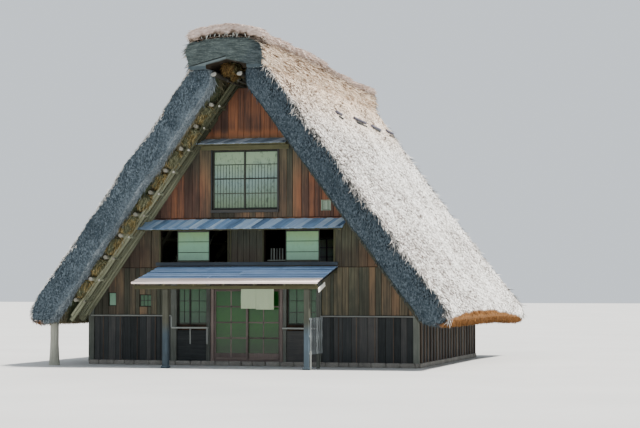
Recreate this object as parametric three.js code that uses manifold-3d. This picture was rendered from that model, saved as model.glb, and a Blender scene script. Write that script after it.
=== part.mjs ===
// Thatched, steep-gabled minka farmhouse. Millimetres, +Z up, gable front towards -Y,
// origin on the ground in the middle of the house.
import * as THREE from 'three';
import { mergeVertices } from 'three/addons/utils/BufferGeometryUtils.js';
import Module from 'manifold-3d';

const wasm = await Module();
wasm.setup();

// Body of the house
const bodyHalfWidth = 5000;
const bodyHalfDepth = 4050;
const wallThickness = 120;
const foundationHeight = 120;
const secondFloorTop = 2840;
const thirdFloorTop = 4400;
const floorThickness = 120;
const cornerPostSize = 160;
const seat = 0.3;

// Roof: the outer surface runs straight from roofBase at the ground to roofApex over the ridge
const roofApex = 9970;
const roofBase = 7420;
const thatchThickness = 800;
const purlinRadius = 58;
const rafterDepth = 955;
const rafterThickness = 140;
const rafterWidth = 130;
const eaveHeight = 1300;
const vergeReachAtEave = 1560;
const vergeLean = 0.065;
const ridgeSeatHeight = 8450;
const slopeInnerTop = 500;

// Front openings, as [left x, right x, low z, high z]
const doorway = [-1200, 1000, foundationHeight, 2330];
const frontWindowLeft = [-2230, -1290, 1180, 2300];
const frontWindowRight = [1130, 2050, 1180, 2300];
const sideLightOuter = [-4420, -4180, 1720, 2120];
const sideLightInner = [-3430, -3060, 1700, 2060];
const secondBayLeft = [-2770, -670, 3010, 3930];
const secondBayRight = [430, 2530, 3010, 3930];
const secondSashLeft = [-2270, -1250, 3010, 3930];
const secondSashRight = [1060, 2090, 3010, 3930];
const thirdWindow = [-1150, 850, 4530, 6260];
const gableVent = [2180, 2420, 4500, 4750];
const backSecondWindow = [-1000, 1000, 3010, 3930];
const backThirdWindow = [-900, 900, 4530, 6260];
const backGroundWindow = [-1000, 1000, 1180, 2300];

const roofSlope = roofBase / roofApex;
const roofAngle = Math.atan(roofApex / roofBase);
const normalX = Math.sin(roofAngle);
const normalZ = Math.cos(roofAngle);
const frontFace = -bodyHalfDepth;
const innerFace = bodyHalfDepth - wallThickness;

const house = new THREE.Group();

// Height over the ridge line of the surface that lies a given depth inside the roof
const apexAt = (depth) => roofApex - depth / normalZ;
const halfWidthAt = (depth, z) => (apexAt(depth) - z) * roofSlope;
const heightAt = (depth, x) => apexAt(depth) - Math.abs(x) / roofSlope;
const gableDepth = rafterDepth + rafterThickness / 2;
const vergeReach = (z) => bodyHalfDepth + vergeReachAtEave + vergeLean * (z - eaveHeight);

function finish(colour, roughness, metalness = 0) {
  return new THREE.MeshStandardMaterial({ color: colour, roughness, metalness });
}

const thatch = finish(0xbdb2a6, 0.95);
const ridgeStraw = finish(0xb09c82, 0.95);
const oldTimber = finish(0x5a4a3a, 0.85);
const boards = finish(0x6e3c26, 0.75);
const paleLog = finish(0x9a8a70, 0.85);
const roofBoards = finish(0x7c8ba3, 0.8);
const glassFrame = finish(0x4d3528, 0.5);
const stone = finish(0x8d8b86, 0.9);
const cloth = finish(0xd3d9c4, 0.9);

function solid(geometry) {
  geometry.deleteAttribute('normal');
  geometry.deleteAttribute('uv');
  const merged = mergeVertices(geometry, 1e-3);
  return new wasm.Manifold(new wasm.Mesh({
    numProp: 3,
    vertProperties: new Float32Array(merged.attributes.position.array),
    triVerts: new Uint32Array(merged.index.array),
  }));
}

function block(x0, x1, y0, y1, z0, z1) {
  const geometry = new THREE.BoxGeometry(x1 - x0, y1 - y0, z1 - z0);
  geometry.translate((x0 + x1) / 2, (y0 + y1) / 2, (z0 + z1) / 2);
  return solid(geometry);
}

function outlineGeometry(points, length, steps = 1) {
  const shape = new THREE.Shape(points.map(([u, v]) => new THREE.Vector2(u, v)));
  return new THREE.ExtrudeGeometry(shape, { depth: length, steps, bevelEnabled: false });
}

// Outline in x and z, swept along Y
function sweptAlongY(points, y0, y1) {
  const geometry = outlineGeometry(points, y1 - y0);
  geometry.rotateX(Math.PI / 2);
  geometry.translate(0, y1, 0);
  return geometry;
}

// Outline in x and z, swept along Y in as many steps as there are spaces between the stations
function sweptThrough(points, stations) {
  const geometry = outlineGeometry(points, stations.length - 1, stations.length - 1);
  geometry.rotateX(Math.PI / 2);
  return moved(geometry, (x, y, z) => [x, stations[stations.length - 1 + Math.round(y)], z]);
}

// Each corner of a geometry moved by a rule
function moved(geometry, rule) {
  const position = geometry.attributes.position;
  for (let index = 0; index < position.count; index += 1) {
    position.setXYZ(index, ...rule(position.getX(index), position.getY(index), position.getZ(index)));
  }
  return geometry;
}

// Outline in y and z, swept along X
function sweptAlongX(points, x0, x1) {
  const geometry = outlineGeometry(points, x1 - x0);
  geometry.rotateX(Math.PI / 2);
  geometry.rotateZ(Math.PI / 2);
  geometry.translate(x0, 0, 0);
  return geometry;
}

function log(from, to, radiusFrom, radiusTo, sides) {
  const start = new THREE.Vector3(...from);
  const end = new THREE.Vector3(...to);
  const direction = end.clone().sub(start);
  const geometry = new THREE.CylinderGeometry(radiusTo, radiusFrom, direction.length(), sides);
  const turn = new THREE.Quaternion().setFromUnitVectors(
    new THREE.Vector3(0, 1, 0), direction.clone().normalize());
  geometry.applyQuaternion(turn);
  geometry.translate(...start.add(end).multiplyScalar(0.5).toArray());
  return solid(geometry);
}

function joined(solids) {
  return solids.reduce((whole, next) => whole.add(next));
}

function place(name, manifold, material) {
  const mesh = manifold.getMesh();
  const geometry = new THREE.BufferGeometry();
  geometry.setAttribute('position', new THREE.BufferAttribute(mesh.vertProperties, 3));
  geometry.setIndex(new THREE.BufferAttribute(mesh.triVerts, 1));
  const node = new THREE.Mesh(geometry, material);
  node.name = name;
  house.add(node);
  return node;
}

// Foundation and floors

function foundation() {
  const reach = bodyHalfWidth + 20;
  const depth = bodyHalfDepth + 20;
  place('foundation_floor', block(-reach, reach, -depth, depth, 0, foundationHeight), stone);
}

function upperFloor(name, top) {
  const halfWidth = halfWidthAt(gableDepth, top) - seat;
  const halfDepth = innerFace - seat;
  place(name, block(-halfWidth, halfWidth, -halfDepth, halfDepth, top - floorThickness, top), oldTimber);
}

// Walls

function opening([x0, x1, z0, z1], y) {
  return block(x0, x1, y - 400, y + 400, z0, z1);
}

function gableWall(name, outline, openings, side, material) {
  const outer = side * bodyHalfDepth;
  const inner = side * innerFace;
  let wall = solid(sweptAlongY(outline, Math.min(outer, inner), Math.max(outer, inner)));
  for (const hole of openings) {
    wall = wall.subtract(opening(hole, outer));
  }
  place(name, wall, material);
}

// Outline of the gable wall between two heights, under the rafters
function gableOutline(low, high) {
  const top = Math.min(high, apexAt(gableDepth) - 60);
  const lowHalf = halfWidthAt(gableDepth, low) - seat;
  const topHalf = halfWidthAt(gableDepth, top) - seat;
  return [[-lowHalf, low], [lowHalf, low], [topHalf, top], [-topHalf, top]];
}

// The part of a gable outline that lies left of an x on its right half
function leftOf(x, [lowLeft, lowRight, topRight, topLeft]) {
  const roofLine = heightAt(gableDepth, x + seat);
  return [lowLeft, [x, lowRight[1]], [x, roofLine], topRight, topLeft];
}

const groundWallLow = foundationHeight + seat;
const groundWallTop = secondFloorTop - floorThickness;
const groundWallEdge = bodyHalfWidth + 20 - cornerPostSize - seat;

// Ground storey wall piece from one x to the corner post, its top cut by the roof slope
function groundOutline(nearDoor, side) {
  const shoulder = halfWidthAt(gableDepth, groundWallTop) - seat;
  const edgeTop = heightAt(gableDepth, groundWallEdge) - seat;
  const points = [
    [nearDoor, groundWallLow],
    [side * groundWallEdge, groundWallLow],
    [side * groundWallEdge, edgeTop],
    [side * shoulder, groundWallTop],
    [nearDoor, groundWallTop],
  ];
  return side > 0 ? points : points.reverse();
}

function frontWalls() {
  const left = doorway[0] - seat;
  const right = doorway[1] + seat;
  gableWall('front_wall_left', groundOutline(left, -1),
    [frontWindowLeft, sideLightOuter, sideLightInner], -1, boards);
  gableWall('front_wall_right', groundOutline(right, 1), [frontWindowRight], -1, boards);
  place('front_wall_over_door',
    block(doorway[0], doorway[1], frontFace, -innerFace, doorway[3] + seat, groundWallTop), boards);
  gableWall('front_wall_second', gableOutline(groundWallTop + seat, thirdFloorTop - floorThickness),
    [secondBayLeft, secondBayRight], -1, boards);
  const upperLow = thirdFloorTop - floorThickness + seat;
  const upperOutline = leftOf(thirdWindow[1], gableOutline(upperLow, roofApex));
  gableWall('front_wall_upper', upperOutline, [thirdWindow], -1, boards);
  gableWall('front_wall_upper_right', [
    [thirdWindow[1] + seat, upperLow],
    [halfWidthAt(gableDepth, upperLow) - seat, upperLow],
    [thirdWindow[1] + seat, heightAt(gableDepth, thirdWindow[1] + 2 * seat)],
  ], [gableVent], -1, boards);
}

function backWalls() {
  const edgeTop = heightAt(gableDepth, groundWallEdge) - seat;
  const shoulder = halfWidthAt(gableDepth, groundWallTop) - seat;
  const outline = [
    [-groundWallEdge, groundWallLow], [groundWallEdge, groundWallLow], [groundWallEdge, edgeTop],
    [shoulder, groundWallTop], [-shoulder, groundWallTop], [-groundWallEdge, edgeTop],
  ];
  gableWall('back_wall_ground', outline, [backGroundWindow], 1, boards);
  gableWall('back_wall_second', gableOutline(groundWallTop + seat, thirdFloorTop - floorThickness),
    [backSecondWindow], 1, boards);
  gableWall('back_wall_upper', gableOutline(thirdFloorTop - floorThickness + seat, roofApex),
    [backThirdWindow], 1, boards);
}

// Long low wall under the eave, with its corner posts and the plate that carries the rafters
function sideWall(name, side) {
  const outer = bodyHalfWidth + 20;
  const inner = outer - cornerPostSize;
  const top = heightAt(gableDepth, outer) - seat;
  const postReach = bodyHalfDepth + 20;
  const span = (a, b) => (side > 0 ? [a, b] : [-b, -a]);
  const pieces = [
    block(...span(bodyHalfWidth - wallThickness, bodyHalfWidth), -postReach + 10, postReach - 10,
      groundWallLow, top - 5),
    block(...span(inner, outer), -postReach, postReach, top - cornerPostSize, top),
  ];
  for (const end of [-1, 1]) {
    const y0 = end > 0 ? postReach - cornerPostSize : -postReach;
    pieces.push(block(...span(inner, outer), y0, y0 + cornerPostSize, groundWallLow, top - 5));
  }
  place(name, joined(pieces), boards);
}

// Roof timbers: purlins along the house, fused to the rafters they lie on

const purlinSpacing = 620;
const purlinLowest = 1900;
const purlinCount = 10;
const purlinReach = bodyHalfDepth + 1250;
const purlinDepth = thatchThickness + purlinRadius + seat;
const purlinSides = 6;
const gableRafterPlace = 3980;
const rafterPlaces = [-4850, -gableRafterPlace, -2000, 0, 2000, gableRafterPlace, 4850];
const rafterFoot = 1260;

// Pole along the house whose round has one corner square to the roof slope
function slopePole(x, z, radius, sides, side, reach) {
  const points = [];
  for (let index = 0; index < sides; index += 1) {
    const angle = Math.PI / 2 - roofAngle + index * 2 * Math.PI / sides;
    points.push([x + side * radius * Math.cos(angle), z + radius * Math.sin(angle)]);
  }
  return solid(sweptAlongY(side > 0 ? points : points.reverse(), -reach, reach));
}

// The rafters over the gable walls reach up to the thatch and close the gable
function roofFrame(name, side) {
  const point = (depth, z) => side * halfWidthAt(depth, z);
  const half = rafterThickness / 2;
  const pieces = rafterPlaces.map((y) => {
    const top = rafterDepth - half;
    const outline = [
      [side * seat, apexAt(top)],
      [side * seat, apexAt(rafterDepth + half)],
      [point(rafterDepth + half, rafterFoot), rafterFoot],
    ];
    if (Math.abs(y) === gableRafterPlace) {
      const closing = thatchThickness + seat;
      outline.unshift(
        [point(closing, rafterFoot), rafterFoot],
        [side * slopeInnerTop, heightAt(closing, slopeInnerTop)],
        [side * slopeInnerTop, heightAt(top, slopeInnerTop)],
      );
    } else {
      outline.unshift([point(top, rafterFoot), rafterFoot]);
    }
    return solid(sweptAlongY(side > 0 ? outline.reverse() : outline,
      y - rafterWidth / 2, y + rafterWidth / 2));
  });
  for (let index = 0; index < purlinCount; index += 1) {
    const z = purlinLowest + index * purlinSpacing;
    pieces.push(slopePole(point(purlinDepth, z), z, purlinRadius, purlinSides, side, purlinReach));
  }
  place(name, joined(pieces), oldTimber);
}

// Thatch

const eaveTip = 1240;
const eaveInner = halfWidthAt(thatchThickness, eaveHeight);
const eaveOuter = 5950;
const eaveLow = eaveTip - 25;

const weatherLow = 1780;
const hollowDepth = 45;
const hollowLength = 2600;
const hollowRise = 2900;
const hollowDrift = 9000;
const hollowFade = 900;
const weatherSteps = 10;
const vergeSteps = 20;

// Depth of the shallow hollows that weather leaves in a slope, at a place along the house and a height
function hollow(y, z) {
  const fade = Math.max(0, Math.min(1, (z - weatherLow) / hollowFade, (ridgeSeatHeight - z) / hollowFade));
  const along = Math.sin(2 * Math.PI * (y / hollowLength + z / hollowDrift));
  const up = Math.cos(2 * Math.PI * z / hollowRise);
  return hollowDepth * fade * (1 - along * up) / 2;
}

function thatchSlope(name, side) {
  const weatherFace = [];
  for (let step = 0; step <= weatherSteps; step += 1) {
    const z = weatherLow + (ridgeSeatHeight - weatherLow) * step / weatherSteps;
    weatherFace.push([halfWidthAt(0, z), z]);
  }
  const outline = [
    [slopeInnerTop, heightAt(thatchThickness, slopeInnerTop)],
    [eaveInner, eaveHeight],
    [eaveOuter, eaveLow],
    [6130, eaveTip],
    [6240, 1390],
    [6235, 1520],
    ...weatherFace,
    [slopeInnerTop, ridgeSeatHeight],
  ].map(([x, z]) => [side * x, z]);
  if (side < 0) {
    outline.reverse();
  }
  const stations = [];
  for (let step = 0; step <= vergeSteps; step += 1) {
    stations.push(2 * step / vergeSteps - 1);
  }
  const slab = moved(sweptThrough(outline, stations), (x, share, z) => {
    const y = share * vergeReach(z);
    const onWeatherFace = Math.abs(Math.abs(x) - halfWidthAt(0, z)) < 1;
    const depth = onWeatherFace ? hollow(y, z) : 0;
    return [x - side * depth * normalX, y, z - depth * normalZ];
  });
  place(name, solid(slab), thatch);
}

// Ridge: two logs on the rafters, a straw cap over them and bundles across the cap

const ridgeLogOffset = 340;
const ridgeLogRadius = 80;
const ridgeTiePlaces = [-5050, 1000, 5050];
const ridgeCapReach = bodyHalfDepth + 2150;
const ridgeSag = 190;
const sagFrom = -830;
const sagTo = 4500;
const capWaist = 8760;
const capShoulder = 9080;
const capTop = [[1080, capShoulder], [600, 9220], [0, 9270], [-600, 9220], [-1080, capShoulder]];
const bundleSpans = [
  [-6300, -5100], [-4650, -3420], [-2150, -900], [-760, 310], [500, 1470], [2250, 3430], [4950, 6300],
];

function ridgeLogs() {
  const rafterTop = heightAt(rafterDepth - rafterThickness / 2, ridgeLogOffset);
  const z = rafterTop + (ridgeLogRadius + seat) / normalZ;
  const pieces = [-1, 1].map((side) => slopePole(
    side * ridgeLogOffset, z, ridgeLogRadius, 10, side, ridgeCapReach - 60));
  for (const y of ridgeTiePlaces) {
    pieces.push(log([-ridgeLogOffset, y, z + 20], [ridgeLogOffset, y, z + 20], 40, 40, 6));
  }
  place('ridge_logs', joined(pieces), paleLog);
}

// The ridge sinks towards the back, between two places along it; its seat on the slopes doesn't
function sagged(geometry) {
  return moved(geometry, (x, y, z) => {
    const share = Math.max(0, Math.min(1, (y - sagFrom) / (sagTo - sagFrom)));
    const above = Math.max(0, Math.min(1, (z - capWaist) / (capShoulder - capWaist)));
    return [x, y, z - ridgeSag * share * above];
  });
}

function ridgeCap() {
  const outline = [
    [-1120, ridgeSeatHeight + seat], [-slopeInnerTop, ridgeSeatHeight + seat], [-260, 8570], [0, 8610],
    [260, 8570], [slopeInnerTop, ridgeSeatHeight + seat], [1120, ridgeSeatHeight + seat], [1160, capWaist],
    ...capTop, [-1160, capWaist],
  ];
  const stations = [-ridgeCapReach, sagFrom, sagTo, ridgeCapReach];
  place('ridge_cap', solid(sagged(sweptThrough(outline, stations))), ridgeStraw);
}

function ridgeBundles() {
  bundleSpans.forEach(([y0, y1], index) => {
    const outline = [
      ...capTop.map(([x, z]) => [x, z + seat]).reverse(),
      [1120, 9230], [1060, 9380], [620, 9540], [0, 9600], [-620, 9540], [-1060, 9380], [-1120, 9230],
    ];
    place(`ridge_bundle_${index + 1}`, solid(sagged(sweptAlongY(outline, y0, y1))), ridgeStraw);
  });
}

// Board canopies over the window rows of a gable, with their brackets

function canopy(name, side, left, right, wallTop, drop, reach, brackets) {
  const thickness = 45;
  const wall = bodyHalfDepth + seat;
  const at = (y, z) => [side * y, z];
  const sheet = [
    at(wall, wallTop), at(wall, wallTop - thickness),
    at(wall + reach, wallTop - drop - thickness), at(wall + reach, wallTop - drop),
  ];
  const turned = side > 0 ? sheet.reverse() : sheet;
  const pieces = [solid(sweptAlongX(turned, left, right))];
  for (let index = 0; index < brackets; index += 1) {
    const x = left + 60 + index * (right - left - 120) / (brackets - 1);
    const arm = [
      at(wall, wallTop - 20), at(wall, wallTop - thickness - 130),
      at(wall + reach * 0.9, wallTop - drop * 0.9 - thickness - 55),
      at(wall + reach * 0.9, wallTop - drop * 0.9 - 20),
    ];
    pieces.push(solid(sweptAlongX(side > 0 ? arm.reverse() : arm, x - 35, x + 35)));
  }
  place(name, joined(pieces), roofBoards);
}

function canopies() {
  canopy('upper_canopy_front', -1, -1480, 1200, 6600, 170, 430, 3);
  canopy('middle_canopy_front', -1, -3200, 2930, 4260, 300, 560, 6);
  canopy('upper_canopy_back', 1, -1330, 1330, 6600, 170, 430, 3);
  canopy('middle_canopy_back', 1, -2930, 2930, 4260, 300, 560, 6);
}

// Porch

const porchLeft = -2840;
const porchRight = 2640;
const porchReach = 2100;
const porchHigh = 2890;
const porchLow = 2420;
const porchThickness = 50;
const porchBeamReach = 1900;
const porchPostLeft = -1860;
const porchPostRight = 2300;
const porchPostSize = 160;
const porchFall = (porchHigh - porchLow) / porchReach;

function porchHeight(reach) {
  return porchHigh - porchFall * reach;
}

function porchBand(above, below, from, to, x0, x1) {
  const wall = bodyHalfDepth + seat;
  return solid(sweptAlongX([
    [-wall - from, porchHeight(from) - above],
    [-wall - from, porchHeight(from) - below],
    [-wall - to, porchHeight(to) - below],
    [-wall - to, porchHeight(to) - above],
  ], x0, x1));
}

const porchRafterDepth = 80;
const porchBeamTop = porchHeight(porchBeamReach + 70) - porchThickness - porchRafterDepth - seat;
const porchBeamDepth = 100;

function porchRoof() {
  const under = porchThickness + porchRafterDepth;
  const pieces = [porchBand(0, porchThickness, 0, porchReach, porchLeft, porchRight)];
  const rafters = 7;
  for (let index = 0; index < rafters; index += 1) {
    const x = porchLeft + index * (porchRight - porchLeft - 60) / (rafters - 1);
    pieces.push(porchBand(porchThickness - 10, under, 0, porchReach - 30, x, x + 60));
  }
  const wall = bodyHalfDepth + seat;
  pieces.push(block(porchLeft, porchRight, -wall - 70, -wall, porchHigh - 240, porchHigh - 60));
  place('porch_roof', joined(pieces), roofBoards);
}

function porchPosts() {
  const y = frontFace - porchBeamReach;
  const half = porchPostSize / 2;
  const top = porchBeamTop - porchBeamDepth - seat;
  for (const [name, x] of [['porch_post_left', porchPostLeft], ['porch_post_right', porchPostRight]]) {
    place(name, block(x - half, x + half, y - half, y + half, 0, top), oldTimber);
  }
  place('porch_beam', block(porchLeft + 40, porchRight - 40, y - 70, y + 70,
    porchBeamTop - porchBeamDepth, porchBeamTop), oldTimber);
}

// Half-height lattice on the outer faces of the right porch post and of a slim post behind it
const screenLow = 420;
const screenHigh = 1430;
const screenFromWall = 750;
const screenPostSize = 90;
const screenPostReach = 950;

function porchScreen() {
  const front = frontFace - porchBeamReach - porchPostSize / 2;
  const back = frontFace - screenFromWall;
  const face = porchPostRight + porchPostSize / 2;
  const x0 = face + seat;
  const rail = 45;
  const railThickness = 40;
  const bar = 24;
  const pieces = [
    block(x0, x0 + railThickness, front, back, screenLow, screenLow + rail),
    block(x0, x0 + railThickness, front, back, screenHigh - rail, screenHigh),
  ];
  const uprights = 8;
  for (let index = 0; index <= uprights; index += 1) {
    const y = front + index * (back - front - bar) / uprights;
    pieces.push(block(x0 + 8, x0 + 32, y, y + bar, screenLow + 5, screenHigh - 5));
  }
  const bars = 5;
  for (let index = 1; index <= bars; index += 1) {
    const z = screenLow + index * (screenHigh - screenLow) / (bars + 1);
    pieces.push(block(x0 + 12, x0 + 28, front + 4, back - 4, z - bar / 2, z + bar / 2));
  }
  place('porch_screen', joined(pieces), oldTimber);
  const y = frontFace - screenPostReach;
  const half = screenPostSize / 2;
  const top = porchHeight(screenPostReach + half) - porchThickness - porchRafterDepth - 2 * seat;
  place('porch_screen_post', block(face - screenPostSize, face, y - half, y + half, 0, top), oldTimber);
}

// Entrance: frame with a header and a sill rail, and two glazed doors on two tracks

const frameInner = -innerFace + 30;
const frameOuter = frontFace - 30;
const jambWidth = 90;
const headerHeight = 110;
const sillHeight = 40;
const trackSpacing = 60;
const trackMiddle = (frameInner + frameOuter) / 2;
const doorThickness = 34;
const runnerHeight = 12;
const doorClear = 6;

function doorFrame() {
  const [x0, x1, z0, z1] = doorway;
  const low = z0 + seat;
  const high = z1 - seat;
  const left = x0 + seat;
  const right = x1 - seat;
  const pieces = [
    block(left, left + jambWidth, frameOuter, frameInner, low, high),
    block(right - jambWidth, right, frameOuter, frameInner, low, high),
    block(left, right, frameOuter, frameInner, high - headerHeight, high),
    block(left, right, frameOuter, frameInner, low, low + sillHeight),
  ];
  for (const track of [-1, 1]) {
    const y = trackMiddle + track * trackSpacing / 2;
    pieces.push(block(left + 10, right - 10, y - 5, y + 5, low + sillHeight - 5, low + sillHeight + 8));
  }
  place('door_frame', joined(pieces), glassFrame);
}

// A door panel stands on two runners, 0.3 mm above its rail, and clears the frame all round
function entranceDoor(name, side) {
  const left = doorway[0] + seat + jambWidth + doorClear;
  const right = doorway[1] - seat - jambWidth - doorClear;
  const width = (right - left) / 2 + 30;
  const x0 = side < 0 ? left : right - width;
  const x1 = x0 + width;
  const y = trackMiddle + side * trackSpacing / 2;
  const railTop = doorway[2] + seat + sillHeight + 8;
  const low = railTop + runnerHeight;
  const high = doorway[3] - seat - headerHeight - doorClear;
  const half = doorThickness / 2;
  const stile = 60;
  const pane = 4;
  const bar = 28;
  const pieces = [
    block(x0, x0 + stile, y - half, y + half, low, high),
    block(x1 - stile, x1, y - half, y + half, low, high),
    block(x0, x1, y - half, y + half, high - stile, high),
    block(x0, x1, y - half, y + half, low, low + 240),
    block(x0 + 10, x1 - 10, y - pane, y + pane, low + 10, high - 10),
    block((x0 + x1 - bar) / 2, (x0 + x1 + bar) / 2, y - half + 6, y + half - 6, low + 20, high - 20),
  ];
  const rows = 4;
  for (let index = 1; index < rows; index += 1) {
    const z = low + 240 + index * (high - stile - low - 240) / rows;
    pieces.push(block(x0 + 20, x1 - 20, y - half + 6, y + half - 6, z - bar / 2, z + bar / 2));
  }
  for (const x of [x0 + 120, x1 - 180]) {
    pieces.push(block(x, x + 60, y - 5, y + 5, railTop + seat, low + 10));
  }
  place(name, joined(pieces), glassFrame);
}

// Windows: a frame with a thin pane and one or more bars, set in its opening

function window(name, [x0, x1, z0, z1], side, uprights) {
  const outer = side * (bodyHalfDepth - 20);
  const inner = side * (bodyHalfDepth - 80);
  const y0 = Math.min(outer, inner);
  const y1 = Math.max(outer, inner);
  const middle = (y0 + y1) / 2;
  const [left, right, low, high] = [x0 + seat, x1 - seat, z0 + seat, z1 - seat];
  const bar = 45;
  const pieces = [
    block(left, left + bar, y0, y1, low, high),
    block(right - bar, right, y0, y1, low, high),
    block(left, right, y0, y1, low, low + bar),
    block(left, right, y0, y1, high - bar, high),
    block(left + 5, right - 5, middle - 4, middle + 4, low + 5, high - 5),
  ];
  for (let index = 1; index <= uprights; index += 1) {
    const x = left + index * (right - left) / (uprights + 1);
    pieces.push(block(x - 20, x + 20, y0 + 10, y1 - 10, low + 5, high - 5));
  }
  place(name, joined(pieces), glassFrame);
}

// One sash stands in the middle of each second-storey bay, open to both sides
function windows() {
  window('front_window_left', frontWindowLeft, -1, 1);
  window('front_window_right', frontWindowRight, -1, 1);
  window('second_sash_left', secondSashLeft, -1, 0);
  window('second_sash_right', secondSashRight, -1, 0);
  window('side_light_outer', sideLightOuter, -1, 0);
  window('side_light_inner', sideLightInner, -1, 0);
  window('third_window_front', thirdWindow, -1, 1);
  window('ground_window_back', backGroundWindow, 1, 1);
  window('second_window_back', backSecondWindow, 1, 1);
  window('third_window_back', backThirdWindow, 1, 1);
}

// Door curtain on its rod in front of the door header
const curtain = { left: -235, right: 765, low: 1640, high: 2270, reach: 90, thickness: 8 };
const rodRadius = 13;
const rodSides = 8;

function doorCurtain() {
  const y = frameOuter - curtain.reach;
  const rodZ = curtain.high + rodRadius + seat;
  const pieces = [
    log([curtain.left - 60, y, rodZ], [curtain.right + 60, y, rodZ], rodRadius, rodRadius, rodSides),
  ];
  for (const x of [curtain.left - 40, curtain.right + 40]) {
    pieces.push(block(x - 12, x + 12, y - 6, frameOuter - seat, rodZ - 9, rodZ + 9));
  }
  place('curtain_rod', joined(pieces), oldTimber);
  place('door_curtain', block(curtain.left, curtain.right, y - curtain.thickness / 2,
    y + curtain.thickness / 2, curtain.low, curtain.high), cloth);
}

// Log post under the left eave, in front of the house corner
function eavePost() {
  const x = -5720;
  const y = -5000;
  const topRadius = 120;
  const outer = -x + topRadius;
  const top = eaveHeight - (eaveHeight - eaveLow) * (outer - eaveInner) / (eaveOuter - eaveInner);
  place('eave_post_left', log([x, y, 0], [x, y, top - seat], 175, topRadius, 12), paleLog);
}

foundation();
upperFloor('second_floor', secondFloorTop);
upperFloor('third_floor', thirdFloorTop);
frontWalls();
backWalls();
sideWall('side_wall_left', -1);
sideWall('side_wall_right', 1);
roofFrame('roof_frame_left', -1);
roofFrame('roof_frame_right', 1);
thatchSlope('thatch_left', -1);
thatchSlope('thatch_right', 1);
ridgeLogs();
ridgeCap();
ridgeBundles();
canopies();
porchRoof();
porchPosts();
porchScreen();
doorFrame();
entranceDoor('entrance_door_left', -1);
entranceDoor('entrance_door_right', 1);
windows();
doorCurtain();
eavePost();

export default house;
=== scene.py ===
import math
import random

import bmesh
import bpy
from mathutils import Matrix, Vector


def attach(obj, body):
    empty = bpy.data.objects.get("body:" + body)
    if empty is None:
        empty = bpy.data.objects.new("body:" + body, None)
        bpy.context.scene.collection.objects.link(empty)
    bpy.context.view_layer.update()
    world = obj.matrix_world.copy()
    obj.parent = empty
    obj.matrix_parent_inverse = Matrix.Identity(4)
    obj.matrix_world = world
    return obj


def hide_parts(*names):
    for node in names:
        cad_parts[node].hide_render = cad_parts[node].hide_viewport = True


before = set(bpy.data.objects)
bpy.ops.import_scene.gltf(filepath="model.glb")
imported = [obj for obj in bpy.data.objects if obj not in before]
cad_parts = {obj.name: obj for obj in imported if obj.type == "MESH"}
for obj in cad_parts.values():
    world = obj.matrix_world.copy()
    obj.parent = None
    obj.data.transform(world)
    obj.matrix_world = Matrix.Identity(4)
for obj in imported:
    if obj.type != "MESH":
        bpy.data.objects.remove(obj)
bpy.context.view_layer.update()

dice = random.Random(7)

roof = {
    "apex": 9.97,          # height where the two outer slopes would meet
    "base": 7.42,          # half width where they would reach the ground
    "vergeAtEave": 5.61,   # how far the verge stands from the middle, at eave height
    "vergeLean": 0.065,
    "eave": 1.3,
}
slope = roof["base"] / roof["apex"]
slopeAngle = math.atan2(roof["apex"], roof["base"])
outward = Vector((math.sin(slopeAngle), 0, math.cos(slopeAngle)))
wallFace = 4.05
sideNames = {-1: "left", 1: "right"}
endNames = {-1: "front", 1: "back"}


def halfWidth(depth, z):
    return (roof["apex"] - depth / outward.z - z) * slope


def heightOver(depth, x):
    return roof["apex"] - depth / outward.z - abs(x) / slope


def verge(z):
    return roof["vergeAtEave"] + roof["vergeLean"] * (z - roof["eave"])


# Modelling helpers

def deselectAll():
    for item in bpy.context.selected_objects:
        item.select_set(False)


def use(item):
    deselectAll()
    item.select_set(True)
    bpy.context.view_layer.objects.active = item
    return item


def settle(item):
    use(item)
    bpy.ops.object.transform_apply(location=True, rotation=True, scale=True)
    return item


def edit(item, kind="FACE", pick="DESELECT"):
    use(item)
    bpy.ops.object.mode_set(mode="EDIT")
    bpy.ops.mesh.select_mode(type=kind)
    bpy.ops.mesh.select_all(action=pick)


def done():
    bpy.ops.object.mode_set(mode="OBJECT")


def pickFaces(test):
    mesh = bmesh.from_edit_mesh(bpy.context.active_object.data)
    for face in mesh.faces:
        face.select = test(face.calc_center_median(), face.normal)
    mesh.select_flush_mode()
    bmesh.update_edit_mesh(bpy.context.active_object.data)


def pickEdges(test):
    mesh = bmesh.from_edit_mesh(bpy.context.active_object.data)
    for edge in mesh.edges:
        a, b = edge.verts
        edge.select = test((a.co + b.co) / 2, (b.co - a.co).normalized())
    mesh.select_flush_mode()
    bmesh.update_edit_mesh(bpy.context.active_object.data)


def added(operator, **settings):
    deselectAll()
    operator(**settings)
    return bpy.context.active_object


def block(name, low, high):
    item = added(bpy.ops.mesh.primitive_cube_add, size=1, location=[(a + b) / 2 for a, b in zip(low, high)])
    item.name = name
    item.scale = [b - a for a, b in zip(low, high)]
    return settle(item)


def bevelled(item, offset, segments):
    edit(item, pick="SELECT")
    bpy.ops.mesh.bevel(offset=offset, segments=segments, affect="EDGES")
    done()
    return item


def sawn(item, place, normal):
    # what lies beyond a plane comes off, and the cut is closed
    edit(item, pick="SELECT")
    bpy.ops.mesh.bisect(plane_co=place, plane_no=normal, use_fill=True, clear_outer=True)
    done()
    return item


def twinOf(item, place=None):
    twin = item.copy()
    twin.data = item.data.copy()
    if place is not None:
        twin.data.transform(place)
    bpy.context.scene.collection.objects.link(twin)
    return twin


def discard(item):
    bpy.data.objects.remove(item)


def joined(name, parts):
    deselectAll()
    for part in parts:
        part.select_set(True)
    bpy.context.view_layer.objects.active = parts[0]
    if len(parts) > 1:
        bpy.ops.object.join()
    parts[0].name = name
    parts[0].data.name = name
    return parts[0]


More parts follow.
